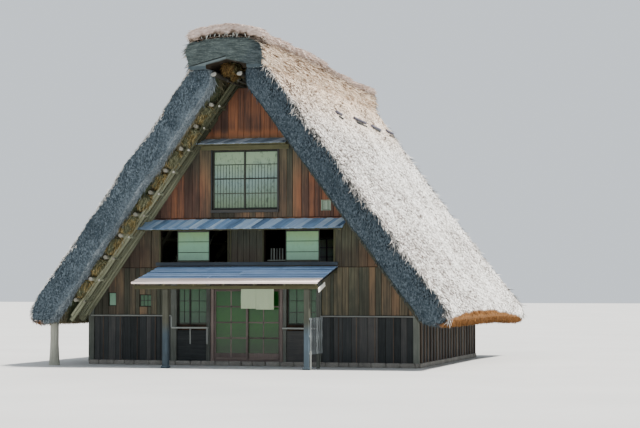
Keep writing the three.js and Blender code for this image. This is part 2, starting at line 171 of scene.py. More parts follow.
def modify(item, kind, **settings):
    use(item)
    modifier = item.modifiers.new(kind.lower(), kind)
    for key, value in settings.items():
        setattr(modifier, key, value)
    bpy.ops.object.modifier_apply(modifier=modifier.name)
    return item


def cloudsOf(name, size, depth=2):
    texture = bpy.data.textures.new(name, "CLOUDS")
    texture.noise_scale = size
    texture.noise_depth = depth
    return texture


def ruffle(item, size, strength, depth=2, middle=0.5):
    # a middle above 0.5 draws the surface in
    return modify(item, "DISPLACE", texture=cloudsOf(item.name + "Ruffle", size, depth), strength=strength,
                  mid_level=middle, texture_coords="LOCAL")


def swell(item, test, step, reach):
    # faces that pass a test move by a step and draw their surroundings along
    edit(item)
    pickFaces(test)
    bpy.ops.transform.translate(value=step, use_proportional_edit=True, proportional_size=reach,
                                proportional_edit_falloff="SMOOTH")
    done()
    return item


def smooth(item, angle=None):
    use(item)
    if angle is None:
        bpy.ops.object.shade_smooth()
    else:
        bpy.ops.object.shade_smooth_by_angle(angle=math.radians(angle))
    return item


def dress(item, finish, body="house", replaces=()):
    item.data.materials.clear()
    item.data.materials.append(finish)
    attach(item, body)
    if replaces:
        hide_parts(*replaces)
    return item


def piece(name, parts, finish, slot="weathered_timber", body="house", replaces=()):
    return dress(joined(name, parts), finish, body, replaces)


# Timber helpers: one master for each cross-section, and copies of it between two points

masters = {}


def masterStick(across, up, wear):
    key = (round(across, 4), round(up, 4), wear)
    if key not in masters:
        item = block("master", (-across / 2, -up / 2, -0.5), (across / 2, up / 2, 0.5))
        masters[key] = bevelled(item, wear, 1)
    return masters[key]


def masterPole(radius, taper, sides):
    key = ("pole", radius, taper, sides)
    if key not in masters:
        item = added(bpy.ops.mesh.primitive_cylinder_add, vertices=sides, radius=radius, depth=1)
        edit(item)
        pickFaces(lambda at, normal: abs(normal.z) > 0.9)
        bpy.ops.mesh.inset(thickness=radius * 0.12, depth=radius * 0.1)
        pickFaces(lambda at, normal: normal.z > 0.9)
        bpy.ops.transform.resize(value=(taper, taper, 1))
        done()
        masters[key] = item
    return masters[key]


def writeGrain(item):
    # the timber's own lengthwise coordinates and one shade number, which its finish follows
    mesh = item.data
    offset = Vector([dice.uniform(-40, 40) for _ in range(3)])
    mesh.attributes.new("grain", "FLOAT_VECTOR", "POINT")
    mesh.attributes.new("tone", "FLOAT", "POINT")
    grain, tone = mesh.attributes["grain"], mesh.attributes["tone"]
    shade = dice.random()
    for index, vertex in enumerate(mesh.vertices):
        grain.data[index].vector = vertex.co + offset
        tone.data[index].value = shade


def stretched(master, start, end, facing):
    start, end = Vector(start), Vector(end)
    span = end - start
    item = twinOf(master)
    extra = (span.length - 1) / 2
    for vertex in item.data.vertices:
        vertex.co.z += extra if vertex.co.z > 0 else -extra
    writeGrain(item)
    z = span.normalized()
    y = Vector(facing)
    y = (y - z * y.dot(z)).normalized()
    x = y.cross(z)
    turn = Matrix((x, y, z)).transposed().to_4x4()
    item.data.transform(Matrix.Translation((start + end) / 2) @ turn)
    return item


def stick(start, end, across, up, wear=0.006, facing=(0, 1, 0)):
    return stretched(masterStick(across, up, wear), start, end, facing)


def pole(start, end, radius, taper=0.9, sides=10, facing=(0, 0, 1)):
    return stretched(masterPole(radius, taper, sides), start, end, facing)


# Shader helpers: a Signal is a socket that Python's arithmetic works on

class Signal:
    def __init__(self, bench, socket):
        self.bench = bench
        self.socket = socket

    def sum(self, operation, *values):
        return self.bench.node("ShaderNodeMath", {"operation": operation}, dict(enumerate(values)))

    def most(self, other):
        return self.sum("MAXIMUM", self, other)

    def __abs__(self):
        return self.sum("ABSOLUTE", self)


for method, operation in (("add", "ADD"), ("sub", "SUBTRACT"), ("mul", "MULTIPLY"), ("truediv", "DIVIDE"),
                          ("gt", "GREATER_THAN"), ("lt", "LESS_THAN")):
    setattr(Signal, "__%s__" % method, lambda self, other, kind=operation: self.sum(kind, self, other))
for method, operation in (("radd", "ADD"), ("rsub", "SUBTRACT"), ("rmul", "MULTIPLY")):
    setattr(Signal, "__%s__" % method, lambda self, other, kind=operation: self.sum(kind, other, self))


class Bench:
    # one node tree; every node comes from node(): its kind, its settings, then its sockets
    def __init__(self, tree):
        self.tree = tree

    def node(self, kind, settings=None, sockets=None, output=0):
        made = self.tree.nodes.new(kind)
        for key, value in (settings or {}).items():
            if key == "stops":
                stops = made.color_ramp.elements
                while len(stops) < len(value):
                    stops.new(0.5)
                for stop, (at, colour) in zip(stops, value):
                    stop.position = at
                    stop.color = colour
            else:
                setattr(made, key, value)
        for key, value in (sockets or {}).items():
            if isinstance(value, Signal):
                self.tree.links.new(value.socket, made.inputs[key])
            else:
                made.inputs[key].default_value = value
        return Signal(self, made.outputs[output]) if made.outputs else None


class Finish(Bench):
    def __init__(self, name, roughness=0.9, specular=0.2):
        self.material = bpy.data.materials.new(name)
        self.material.use_nodes = True
        super().__init__(self.material.node_tree)
        self.shader = self.tree.nodes["Principled BSDF"]
        self.shader.inputs["Roughness"].default_value = roughness
        self.shader.inputs["Specular IOR Level"].default_value = specular
        self.object = self.node("ShaderNodeTexCoord", output="Object")

    def axis(self, which):
        return self.node("ShaderNodeSeparateXYZ", {}, {0: self.object}, which)

    def own(self, name, output="Vector"):
        return self.node("ShaderNodeAttribute", {"attribute_name": name}, output=output)

    def stretched(self, scale, at=None):
        return self.node("ShaderNodeMapping", {}, {"Vector": at or self.object, "Scale": scale})

    def spots(self, scale, detail=4.0, roughness=0.6, distortion=0.0, at=None):
        return self.node("ShaderNodeTexNoise", {}, {
            "Vector": at or self.object, "Scale": scale, "Detail": detail, "Roughness": roughness,
            "Distortion": distortion})

    def strands(self, scale, *settings, at=None):
        # spots drawn out lengthwise
        return self.spots(*settings, at=self.stretched(scale, at))

    def ramp(self, signal, *stops):
        return self.node("ShaderNodeValToRGB", {"stops": [(at, paint(*colour)) for at, colour in stops]},
                         {0: signal})

    def band(self, signal, low, high):
        return self.node("ShaderNodeMapRange", {"interpolation_type": "SMOOTHSTEP"}, {
            "Value": signal, "From Min": low, "From Max": high})

    def mix(self, factor, first, second, blend="MIX"):
        first, second = (paint(*value) if isinstance(value, tuple) else value for value in (first, second))
        return self.node("ShaderNodeMix", {"data_type": "RGBA", "blend_type": blend, "clamp_factor": True}, {
            0: factor, 6: first, 7: second}, 2)

    def done(self, colour, height=None, strength=0.4, distance=0.02):
        self.tree.links.new(colour.socket, self.shader.inputs["Base Color"])
        if height is not None:
            raised = self.node("ShaderNodeBump", {}, {
                "Height": height, "Strength": strength, "Distance": distance}, "Normal")
            self.tree.links.new(raised.socket, self.shader.inputs["Normal"])
        return self.material


def paint(red, green, blue):
    # a screen colour, 0 to 255, as linear light
    return tuple(((c / 255 + 0.055) / 1.055) ** 2.4 for c in (red, green, blue)) + (1,)


# Straw finishes

def strawBench(name, plain=0.0):
    # a finish, and the shade of its locks; plain is the shade of the body that they grow from
    finish = Finish(name, 0.93, 0.12)
    tone = finish.own("tone", "Fac")
    return finish, tone + (tone < 0.001) * plain


def strawFinish(name, colours, gap, streak=(1, 1, 0.18), other=None):
    # colours run from the dark locks to the bright ones; gap is the body between the locks, painted darker as
    # shade between them; other is a second kind of straw that lies in patches
    finish, tone = strawBench(name)
    strands = finish.strands(streak, 14, 4, 0.65)
    mixed = tone * 0.42 + strands * 0.7 + finish.spots(3.5, 3, 0.6) * 0.5 - 0.3
    lit = finish.ramp(mixed, (0.3, colours[0]), (0.5, colours[1]), (0.7, colours[2]))
    if other:
        patch = finish.band(finish.spots(1.9, 2), 0.46, 0.54)
        lit = finish.mix(patch, lit, finish.ramp(mixed, (0.3, other[0]), (0.5, other[1]), (0.7, other[2])))
    # painted shade: the body between the locks takes the darker gap colour
    body = finish.mix(strands, gap, colours[1])
    return finish.done(finish.mix(tone > 0.001, body, lit), strands, 0.5, 0.03)


def depthOf(finish):
    # how far a point lies under the outer slopes
    return (roof["apex"] - finish.axis("Z")) * outward.z - abs(finish.axis("X")) * outward.x


def thatchFinish():
    # weather faces pale, cut eave and underside ochre, by place in the slope; verge faces slate grey in
    # painted shade
    finish, tone = strawBench("thatchStraw", 0.5)
    x, y, z = (finish.axis(axis) for axis in "XYZ")
    depth = depthOf(finish)
    strands = finish.strands((1, 4, 0.5), 7, 5, 0.7)
    patches = finish.spots(0.9, 4, 0.65)
    speckle = finish.spots(17, 3, 0.75)
    mixed = tone * 0.34 + strands * 0.5 + patches * 0.3 + speckle * 1.25 - 0.63
    # painted shade: the slope is darker towards the front verge
    mixed = mixed + finish.band(z, 4.5, 2.0) * 0.01 + finish.band(y, -5.6, 1.5) * 0.06 - 0.035
    weather = finish.ramp(mixed, (0.48, (84, 74, 68)), (0.565, (210, 201, 194)), (0.605, (255, 255, 252)))
    nearRidge = finish.band(z, 6.2, 8.4)
    weather = finish.mix(nearRidge, weather, (243, 226, 208), "MULTIPLY")
    # painted shade: the verge faces' grey straw is tinted blue and darkened as if sky-lit in shade, and
    # darker still on the sunny right slope's verge
    shade = finish.ramp(mixed, (0.4, (58, 70, 79)), (0.68, (104, 116, 125)))
    shade = finish.mix((x > 0) * 0.3, shade, (34, 43, 50))
    # painted light: a lighter slate for the left slope's underside beside the verge, whose faces turn away
    # from the light
    inner = finish.ramp(mixed, (0.4, (84, 94, 101)), (0.68, (140, 149, 155)))
    onVerge = abs(y) > (roof["vergeAtEave"] - 0.03 + (z - roof["eave"]) * roof["vergeLean"])
    ochre = finish.ramp(strands * 0.6 + speckle * 0.7, (0.45, (52, 35, 20)), (0.8, (154, 108, 64)))
    dun = finish.ramp(strands * 0.6 + tone * 0.5, (0.25, (56, 56, 48)), (0.75, (124, 118, 94)))
    moss = finish.mix(finish.band(patches, 0.48, 0.62), dun, (66, 74, 54))
    # beside the verge the underside takes the painted shade, lighter on the left as painted light
    slate = finish.band(finish.spots(2, 3) * 0.5 + verge(z) - abs(y), 0.75, 0.55)
    moss = finish.mix(slate, moss, finish.mix(x < 0, shade, inner))
    under = finish.band(depth, 0.42, 0.55)
    under = under.most(finish.band(z, 7.7, 7.9) * finish.band(depth, 0.3, 0.36))
    # the cut is highest in the middle of the eave; its ochre, the cut straw's own colour, stands tall only on
    # the sunny right eave and stays a thin line on the shaded left, as painted light and shade
    arch = (1 - (y + 1) * (y + 1) * 0.03) * (x > 0)
    edge = 1.3 + arch * 0.3 + (finish.spots(0.8, 3) - 0.5) * 0.2
    cut = finish.band(z - edge, 0.04, -0.04) * finish.band(depth, -0.02, 0.03)
    colour = finish.mix(cut, weather, ochre)
    colour = finish.mix(under, colour, moss)
    return finish.done(finish.mix(onVerge, colour, shade), strands + speckle, 0.7, 0.04)


def vergeFinish():
    # cut straw ends, slate grey tinted blue and darkened as painted shade; jagged, darker painted shade
    # beside the outer edge of the sunny slope; the left's inner part lighter as painted light
    finish, tone = strawBench("vergeStraw", 0.4)
    blots = finish.spots(2.6, 4, 0.65)
    mixed = tone * 0.18 + finish.spots(12, 3, 0.7) * 0.45 + blots * 0.8 - 0.235
    # painted shade: grey straw tinted blue and darkened as if sky-lit in shade, darker on the sunny slope's
    # verge
    shadedSlate = finish.ramp(mixed, (0.3, (41, 52, 59)), (0.5, (59, 71, 77)), (0.7, (88, 99, 105)))
    shadedSlate = finish.mix((finish.axis("X") > 0) * 0.35, shadedSlate, (36, 47, 55))
    # painted light: the left verge's inner part, lighter
    pale = finish.ramp(mixed, (0.3, (80, 91, 99)), (0.7, (136, 147, 154)))
    within = finish.band(depthOf(finish) + (blots - 0.5) * 0.5, 0.45, 0.85) * (finish.axis("X") < 0)
    shadedSlate = finish.mix(within, shadedSlate, pale)
    # painted shade: dark jagged shade with bright flecks near the sunny slope's outer edge
    jagged = finish.ramp(mixed, (0.38, (13, 20, 23)), (0.56, (30, 39, 45)), (0.74, (92, 102, 106)))
    outer = finish.band(depthOf(finish) + (blots - 0.5) * 0.6, 0.44, 0.2) * (finish.axis("X") > 0)
    return finish.done(finish.mix(outer, shadedSlate, jagged), mixed, 0.6, 0.03)


# Straw strewn over a ground mesh by Geometry Nodes, each lock a closed spike pointing down its slope

def lockOfStraw(width, length):
    item = settle(added(bpy.ops.mesh.primitive_cone_add, vertices=3, radius1=width, radius2=0, depth=length,
                        location=(0, 0, length * 0.42)))
    edit(item)
    pickFaces(lambda at, normal: normal.z < -0.5)
    bpy.ops.transform.resize(value=(1, 0.55, 1))
    done()
    return item


def shapeOf(node, name, voxel):
    # a copy of a solid's own shape, merged and evenly meshed, to be worked on
    item = bpy.data.objects.new(name, bpy.data.objects[node].data.copy())
    bpy.context.scene.collection.objects.link(item)
    edit(item, "VERT", "SELECT")
    bpy.ops.mesh.remove_doubles(threshold=0.0005)
    done()
    return modify(item, "REMESH", mode="VOXEL", voxel_size=voxel)


def groundOf(item, test):
    # a copy of a piece with only the faces that a test passes, for straw to grow from
    ground = twinOf(item)
    edit(ground)
    pickFaces(lambda at, normal: not test(at, normal))
    bpy.ops.mesh.delete(type="FACE")
    done()
    return ground


def strew(name, ground, settings):
    # settings: density, length, width, lift, aim, spread, sizes, seed
    lock = lockOfStraw(settings["width"], settings["length"])
    tree = bpy.data.node_groups.new(name, "GeometryNodeTree")
    tree.interface.new_socket("Geometry", in_out="INPUT", socket_type="NodeSocketGeometry")
    tree.interface.new_socket("Geometry", in_out="OUTPUT", socket_type="NodeSocketGeometry")
    bench = Bench(tree)
    seed = settings["seed"]

    def vector(operation, *values, output=0):
        return bench.node("ShaderNodeVectorMath", {"operation": operation}, dict(enumerate(values)), output)

    def chance(kind, low, high, extra, output):
        keys = (0, 1) if kind == "FLOAT_VECTOR" else (2, 3)
        return bench.node("FunctionNodeRandomValue", {"data_type": kind},
                          {keys[0]: low, keys[1]: high, "Seed": seed + extra}, output)

    surface = bench.node("NodeGroupInput")
    clumps = bench.node("ShaderNodeTexNoise", {}, {"Scale": settings.get("clump", 2.0), "Detail": 2.0})
    spread = bench.node("GeometryNodeDistributePointsOnFaces", {"distribute_method": "RANDOM"}, {
        "Mesh": surface, "Density": settings["density"] * (0.35 + clumps * 1.3), "Seed": seed})
    normal = Signal(bench, spread.socket.node.outputs["Normal"])
    steep = bench.node("ShaderNodeSeparateXYZ", {}, {0: normal}, "Z")
    downhill = vector("NORMALIZE", vector("SUBTRACT", vector("MULTIPLY", normal, steep), (0, 0, 1)))
    fall = settings.get("fall", 1.0)
    lift = settings["lift"]
    jitter = settings["spread"]
    aim = vector("ADD", vector("MULTIPLY", downhill, (fall,) * 3), vector("MULTIPLY", normal, (lift,) * 3))
    aim = vector("ADD", aim, vector("ADD", chance("FLOAT_VECTOR", (-jitter,) * 3, (jitter,) * 3, 1, 0),
                                    settings.get("aim", (0, 0, 0))))
    turn = bench.node("FunctionNodeAlignRotationToVector", {"axis": "Z"}, {"Vector": aim})
    low, high = settings["sizes"]
    size = chance("FLOAT", low, high, 2, 1)
    shape = bench.node("GeometryNodeObjectInfo", {}, {"Object": lock}, "Geometry")
    placed = bench.node("GeometryNodeInstanceOnPoints", {}, {
        "Points": spread, "Instance": shape, "Rotation": turn, "Scale": size})
    toned = bench.node("GeometryNodeStoreNamedAttribute", {"data_type": "FLOAT", "domain": "INSTANCE"}, {
        "Geometry": placed, "Name": "tone", "Value": chance("FLOAT", 0.05, 1.0, 3, 1)})
    real = bench.node("GeometryNodeRealizeInstances", {}, {"Geometry": toned})
    bench.node("NodeGroupOutput", {}, {0: real})
    modify(ground, "NODES", node_group=tree)
    discard(lock)
    ground.name = name
    return ground


# Thatch slopes

thatch = {
    "voxel": 0.12,
    "tufts": (0.35, 0.035),    # size and height of the straw's small lumps
    # where each slope bulges: a test for its faces, their step, and how far they draw the rest along
    "bulges": {
        -1: (lambda at, n: n.x < -0.7 and 2.4 < at.z < 5.2, (-0.07, 0, 0), 2.2),
        1: (lambda at, n: at.y > 5.2 and at.z < 1.9 and at.x > 5.7, (0.16, 0, -0.08), 3.5),
    },
    "weather": {"density": 270, "length": 0.1, "width": 0.013, "lift": 0.12, "spread": 0.35,
                "sizes": (0.5, 1.3)},
    "verge": {"density": 960, "length": 0.065, "width": 0.012, "lift": 0.14, "fall": 0.6, "spread": 0.3,
              "sizes": (0.5, 1.3)},
    "fringe": {"density": 1250, "length": 0.19, "width": 0.013, "lift": 0.06, "spread": 0.75,
               "sizes": (0.4, 1.6), "clump": 1.6},
    "tips": {"density": 1300, "length": 0.09, "width": 0.012, "lift": 0.45, "spread": 0.4,
             "sizes": (0.4, 1.4)},
    "eave": {"density": 420, "length": 0.13, "width": 0.016, "lift": 0.5, "spread": 0.45,
             "sizes": (0.6, 1.2)},
    "under": {"density": 110, "length": 0.2, "width": 0.02, "lift": 0.25, "spread": 0.5, "sizes": (0.5, 1.3),
              "clump": 1.4},
    # sticks on the straw below the ridge: how far aside, then where each one begins and ends
    "ties": {"across": 1.78, "spans": ((-1.1, -0.6), (1.04, 2.35), (3.07, 4.09), (5.1, 5.9)),
             "radius": 0.045},
}


def thatchBody(name, side):
    body = shapeOf("thatch_" + name, "thatch_straw_" + name, thatch["voxel"])
    swell(body, *thatch["bulges"][side])
    ruffle(body, *thatch["tufts"], depth=4)
    return smooth(body)


def slopeTies(name, side):
    # weathered sticks that lie on the straw below the ridge, with thin dark poles under them as painted
    # shadow
    ties = thatch["ties"]
    # the second set is thin dark poles put under the sticks as painted shadow
    for look, finish, step, radius in (("sticks", tieWood, 0.0, ties["radius"]),
                                       ("hollows", darkWood, 0.07, 0.03)):
        parts = []
        for low, high in ties["spans"]:
            x = side * (ties["across"] + step + dice.uniform(-0.03, 0.03))
            z = heightOver(-0.02 if step == 0 else 0.0, x)
            end = (x + side * 0.03, high - step * 2, z - 0.05)
            parts.append(pole((x, low + step, z), end, radius, 0.8, 7))
        piece("slope_%s_%s" % (look, name), parts, finish)


def thatchSlope(side, finish, fringeFinish):
    name = sideNames[side]
    out = Vector((side * outward.x, 0, outward.z))
    body = thatchBody(name, side)
    seed = 40 if side > 0 else 60
    weather = strew("locks", groundOf(body, lambda at, n: n.dot(out) > 0.6 and at.z > 1.5), {
        **thatch["weather"], "seed": seed})
    ends = [groundOf(body, lambda at, n, end=end: n.y * end > 0.6 or (
        n.dot(out) < -0.7 and at.y * end > verge(at.z) - 0.35)) for end in (-1, 1)]
    rims = [groundOf(body, lambda at, n, end=end: at.y * end > verge(at.z) - 0.14 and n.dot(out) > 0.3
                     and abs(at.x) > halfWidth(0.3, at.z)) for end in (-1, 1)]
    eave = strew("eave_ends_" + name, groundOf(
        body, lambda at, n: at.z < 1.6 and n.z < -0.2 and abs(at.x) > 5.2),
        {**thatch["eave"], "seed": seed + 5})
    under = strew("underside_straw_" + name, groundOf(
        body, lambda at, n: n.dot(out) < -0.8 and wallFace + 0.1 < abs(at.y) < verge(at.z) - 0.25), {
            **thatch["under"], "seed": seed + 7})
    body = joined("thatch_straw_" + name, [body, weather])
    dress(body, finish, replaces=["thatch_" + name])
    for end, ground, rim in zip(endNames.values(), ends, rims):
        face = strew("verge_straw_%s_%s" % (end, name), ground, {**thatch["verge"], "seed": seed + 11})
        dress(face, vergeStraw)
        lean = -0.55 if end == "front" else 0.55
        fringe = strew("verge_fringe_%s_%s" % (end, name), rim, {
            **thatch["fringe" if side > 0 else "tips"], "aim": (0, lean, 0), "seed": seed + 13})
        dress(fringe, fringeFinish)
    dress(eave, finish)
    dress(under, finish)
    print("thatch", name, len(body.data.polygons))


straw = thatchFinish()
vergeStraw = vergeFinish()
fringeStraw = strawFinish("fringeStraw", ((30, 36, 38), (98, 96, 94), (234, 230, 224)), (60, 64, 66))
thatchSlope(1, straw, fringeStraw)
thatchSlope(-1, straw, strawFinish("sunlitTips", ((150, 150, 146), (236, 234, 228), (255, 255, 252)),
                                   (120, 124, 124)))

# Ridge: the cap of laid straw and the bundles tied across it

ridge = {
    "reach": 6.2, "sunk": 0.07,
    # bulges of the cap and of the first bundle, as on the slopes
    "capBulges": (
        (lambda at, n: at.y < -6.0 and at.x > 0.95, (-0.11, 0, 0), 0.6),
        (lambda at, n: at.y < -5.9 and at.x < -0.95 and at.z > 8.9, (-0.1, 0, 0.02), 0.35)),
    "bulges": (
        (lambda at, n: at.y > -5.5 and at.z > 9.25, (0, 0, -0.13), 0.5),
        (lambda at, n: at.x < -0.9, (0, 0, 0.08), 0.4),
        (lambda at, n: at.x > 0.9, (0, 0, 0.06), 0.4),
        (lambda at, n: abs(at.x) < 0.3 and at.z > 9.3, (0, 0, 0.05), 0.6)),
    "spans": [(-6.3, -5.1), (-4.65, -3.42), (-2.15, -0.9), (-0.76, 0.31), (0.5, 1.47), (2.25, 3.43),
              (4.95, 6.3)],
    "settled": {4: 0.03, 5: 0.12, 6: 0.08, 7: 0.03},    # how far some bundles have sunk into the cap
    "cap": {"density": 280, "length": 0.18, "width": 0.014, "lift": 0.06, "spread": 0.25,
            "sizes": (0.4, 1.4)},
    "roll": {"density": 640, "length": 0.13, "width": 0.012, "lift": 0.08, "spread": 0.25,
             "sizes": (0.5, 1.5)},
    "ends": {"density": 1500, "length": 0.1, "width": 0.005, "lift": 0.04, "spread": 0.12,
             "sizes": (0.5, 1.3)},
    "sag": {"from": -0.83, "to": 4.5, "depth": 0.19},
    # pale stick ends in the dark gap under the first bundle, whose lower face arches
    "sticks": {"count": 22, "span": (-0.7, 0.72), "y": -6.31, "z": 9.24, "arch": 0.16, "across": 0.018,
               "up": 0.016},
}


def acrossLocks(body, test, look, seed):
    # straw laid across the ridge: each half points down its own side
    halves = []
    for side in (-1, 1):
        ground = groundOf(body, lambda at, n, side=side: at.x * side > 0 and test(at, n))
        halves.append(strew("locks", ground, {
            **ridge[look], "aim": (side * 0.9, 0, -0.1), "fall": 0 if look == "ends" else 0.6,
            "seed": seed + side}))
    return halves


def ridgeCap(finish):
    body = shapeOf("ridge_cap", "ridge_cap_straw", 0.08)
    edit(body)
    pickFaces(lambda at, normal: normal.z < -0.7 and abs(at.x) > 0.55)
    bpy.ops.transform.translate(value=(0, 0, -ridge["sunk"]))
    done()
    for bulge in ridge["capBulges"]:
        swell(body, *bulge)
    ruffle(body, 0.5, 0.03, depth=3)
    smooth(body)
    locks = acrossLocks(body, lambda at, n: n.z > -0.3 and abs(n.y) < 0.6, "cap", 90)
    locks += acrossLocks(body, lambda at, n: abs(n.y) > 0.6, "ends", 94)
    body = joined("ridge_cap_straw", [body] + locks)
    dress(body, finish, replaces=["ridge_cap"])
    print("ridge cap", len(body.data.polygons))


def ridgeBundles(finish):
    for number, (low, high) in enumerate(ridge["spans"], 1):
        name = "ridge_straw_bundle_%d" % number
        body = shapeOf("ridge_bundle_%d" % number, name, 0.05)
        body.data.transform(Matrix.Translation((0, 0, -ridge["settled"].get(number, 0))))
        for bulge in ridge["bulges"] if number == 1 else ():
            swell(body, *bulge)
        ruffle(body, 0.4, 0.06, middle=0.8)
        ruffle(body, 0.13, 0.05, depth=3)
        smooth(body)
        locks = acrossLocks(body, lambda at, n: abs(n.y) < 0.6, "roll", 100 + 3 * number)
        body = joined(name, [body] + locks)
        dress(body, finish, replaces=["ridge_bundle_%d" % number])
    print("ridge bundles")


def bundleSticks():
    look = ridge["sticks"]
    parts = []
    for _ in range(look["count"]):
        x = dice.uniform(*look["span"])
        low = look["z"] - look["arch"] * x * x + dice.uniform(0, 0.05)
        end = (x + dice.uniform(-0.05, 0.05), look["y"] + 0.01, low + dice.uniform(0.03, 0.1))
        parts.append(stick((x, look["y"], low), end, look["across"], look["up"], 0.004))
    piece("bundle_sticks", parts, paleWood, "ridge_straw")


def bundleFinish():
    # rolls pinkish above; brown straw and painted shade in patches low on each roll; painted shadow where the
    # first one's face lies on the cap
    finish, tone = strawBench("bundleStraw", 0.3)
    x, y, z = (finish.axis(axis) for axis in "XYZ")
    sag = ridge["sag"]
    lift = z - 9.27 + x * x * 0.163 + finish.band(y, sag["from"], sag["to"]) * sag["depth"]
    strands = finish.strands((0.3, 1, 1), 20, 4, 0.65)
    blots = finish.spots(4, 3, 0.6)
    mixed = tone * 0.45 + strands * 0.75 - 0.12
    top = finish.ramp(mixed, (0.2, (140, 118, 106)), (0.5, (204, 186, 176)), (0.75, (250, 240, 232)))
    brown = finish.ramp(mixed, (0.2, (50, 40, 31)), (0.5, (98, 84, 70)), (0.75, (166, 150, 130)))
    face = finish.band(y, -6.1, -6.22)
    # brown straw and painted shade low on each roll, strongest on the first one's face
    low = finish.band(lift + (blots - 0.5) * 0.5, 0.2, 0.06)
    colour = finish.mix(low * (0.55 + face * 0.45), top, brown)
    # painted shadow in the gap under the first roll's face
    gap = finish.band(lift + (blots - 0.5) * 0.2, 0.1, 0.04) * face
    return finish.done(finish.mix(gap, colour, (30, 24, 20)), strands, 0.5, 0.03)


def capFinish():
    # pale over the sides, grey-green on both ends, painted shade under the arch, and dark along the lower rim
    finish, tone = strawBench("capStraw", 0.4)
    x, y, z = (finish.axis(axis) for axis in "XYZ")
    strands = finish.strands((0.2, 1, 1), 16, 4, 0.65)
    mixed = tone * 0.4 + strands * 0.35 + finish.spots(9, 3, 0.65) * 0.9 - 0.3
    mixed = mixed + finish.band(z, 8.95, 8.5) * 0.06
    over = finish.ramp(mixed, (0.4, (88, 69, 52)), (0.52, (186, 165, 144)), (0.64, (242, 228, 210)))
    layers = tone * 0.4 + finish.strands((0.2, 1, 1.6), 14, 5, 0.75) * 0.8 - 0.1
    ends = finish.ramp(layers, (0.3, (50, 58, 58)), (0.5, (78, 88, 88)), (0.72, (116, 126, 122)))
    slate = finish.band(x + (strands - 0.5) * 0.8 - (z - 8.45) * 0.9, 0.1, 0.5)
    ends = finish.mix(slate * 0.75, ends, finish.ramp(layers, (0.35, (34, 42, 46)), (0.65, (84, 94, 98))))
    # a crack rises from the left corner towards the arch; below it lies the verge's slate straw
    crack = z - 8.47 - (x + 1.1) * 0.24
    ends = finish.mix(finish.band(crack, 0.01, -0.03) * (x < 0), ends, (100, 112, 114))
    ends = finish.mix(finish.band(abs(crack + 0.01), 0.025, 0.008) * (x < 0), ends, (34, 38, 38))
    colour = finish.mix(finish.band(abs(y), ridge["reach"] - 0.1, ridge["reach"] - 0.06), over, ends)
    # painted shade under the cap's arch
    arch = finish.band(z + abs(x) * 0.25, 8.68, 8.62) * (abs(x) < 0.6)
    rim = finish.band(z, 8.49, 8.45) * (abs(y) > 6.0)
    colour = finish.mix(rim, colour, (72, 84, 90))
    return finish.done(finish.mix(arch, colour, (36, 31, 24)), strands, 0.5, 0.03)


ridgeCap(capFinish())
ridgeBundles(bundleFinish())

# Timber, glass and stone finishes

def timberFinish(name, *colours, streak=(26, 26, 1.2), roughness=0.82, stretches=()):
    # colours run from the dark pieces to the bright ones; a stretch has other colours, by place along an axis
    finish = Finish(name, roughness)
    fibre = finish.strands(streak, 1, 5, 0.7, at=finish.own("grain"))
    mixed = finish.own("tone", "Fac") * 0.4 + fibre * 0.55 + finish.spots(1.6, 3, 0.6) * 0.3 - 0.14
    wood = finish.ramp(mixed, *zip((0.2, 0.5, 0.8), colours))
    for axis, start, stop, dark, bright in stretches:
        beyond = finish.band(abs(finish.axis(axis)), start, stop)
        wood = finish.mix(beyond, wood, finish.ramp(mixed, (0.2, dark), (0.75, bright)))
    return finish.done(wood, fibre, 0.4, 0.012)


def gableFinish():
    # sheltered boards olive and dark, weathered ones red-brown, by storey and by board
    finish = Finish("gableBoards", 0.84)
    tone = finish.own("tone", "Fac")
    fibre = finish.strands((24, 24, 0.9), 1, 5, 0.7, at=finish.own("grain"))
    cloud = finish.strands((1.4, 1.4, 0.6), 1, 3, 0.6)
    aside, up = abs(finish.axis("X")), finish.axis("Z")
    top = finish.band(up, 6.45, 6.75)
    sunnier = finish.band(finish.axis("X"), -3.5, 3.5) * 0.08 + finish.band(up, 6.95, 6.6) * top * 0.3
    mixed = tone * 0.18 + fibre * 0.55 + cloud * 0.5 - 0.12 + top * 0.07 + sunnier
    olive = finish.ramp(mixed, (0.3, (42, 44, 39)), (0.52, (68, 70, 60)), (0.74, (110, 108, 86)))
    red = finish.ramp(mixed, (0.3, (52, 40, 36)), (0.52, (88, 67, 59)), (0.74, (150, 99, 71)))
    third = finish.band(up, 6.5, 4.9) * finish.band(up, 4.0, 4.3) * (1 - finish.band(up, 6.5, 6.7))
    third = third * (0.35 + finish.band(aside, 1.1, 1.9) * 0.8)
    low = finish.band(aside, 2.9, 3.6) * (1 - finish.band(up, 3.3, 4.1)) * 0.26
    wood = finish.mix(top.most(third).most(low) + (tone - 0.5) * 0.4 * (1 - top), olive, red)
    # painted shade: darker just under the middle canopy
    foot = finish.band(up + cloud * 0.6, 3.95, 3.45) * (up > 2.85)
    return finish.done(finish.mix(foot * 0.45, wood, (62, 47, 42)), fibre, 0.4, 0.012)


def coreFinish():
    # the wall behind the boards, and the rooms' side of it
    finish = Finish("wallCore", 0.9, 0.15)
    plank = finish.node("ShaderNodeTexWave", {"bands_direction": "DIAGONAL"}, {
        "Vector": finish.stretched((4, 4, 0)), "Scale": 0.3, "Distortion": 1.5})
    fibre = finish.strands((22, 22, 1), 1, 4, 0.65)
    wood = finish.ramp(plank * 0.3 + fibre * 0.7, (0.25, (30, 24, 20)), (0.75, (66, 50, 38)))
    return finish.done(wood, fibre, 0.3, 0.01)


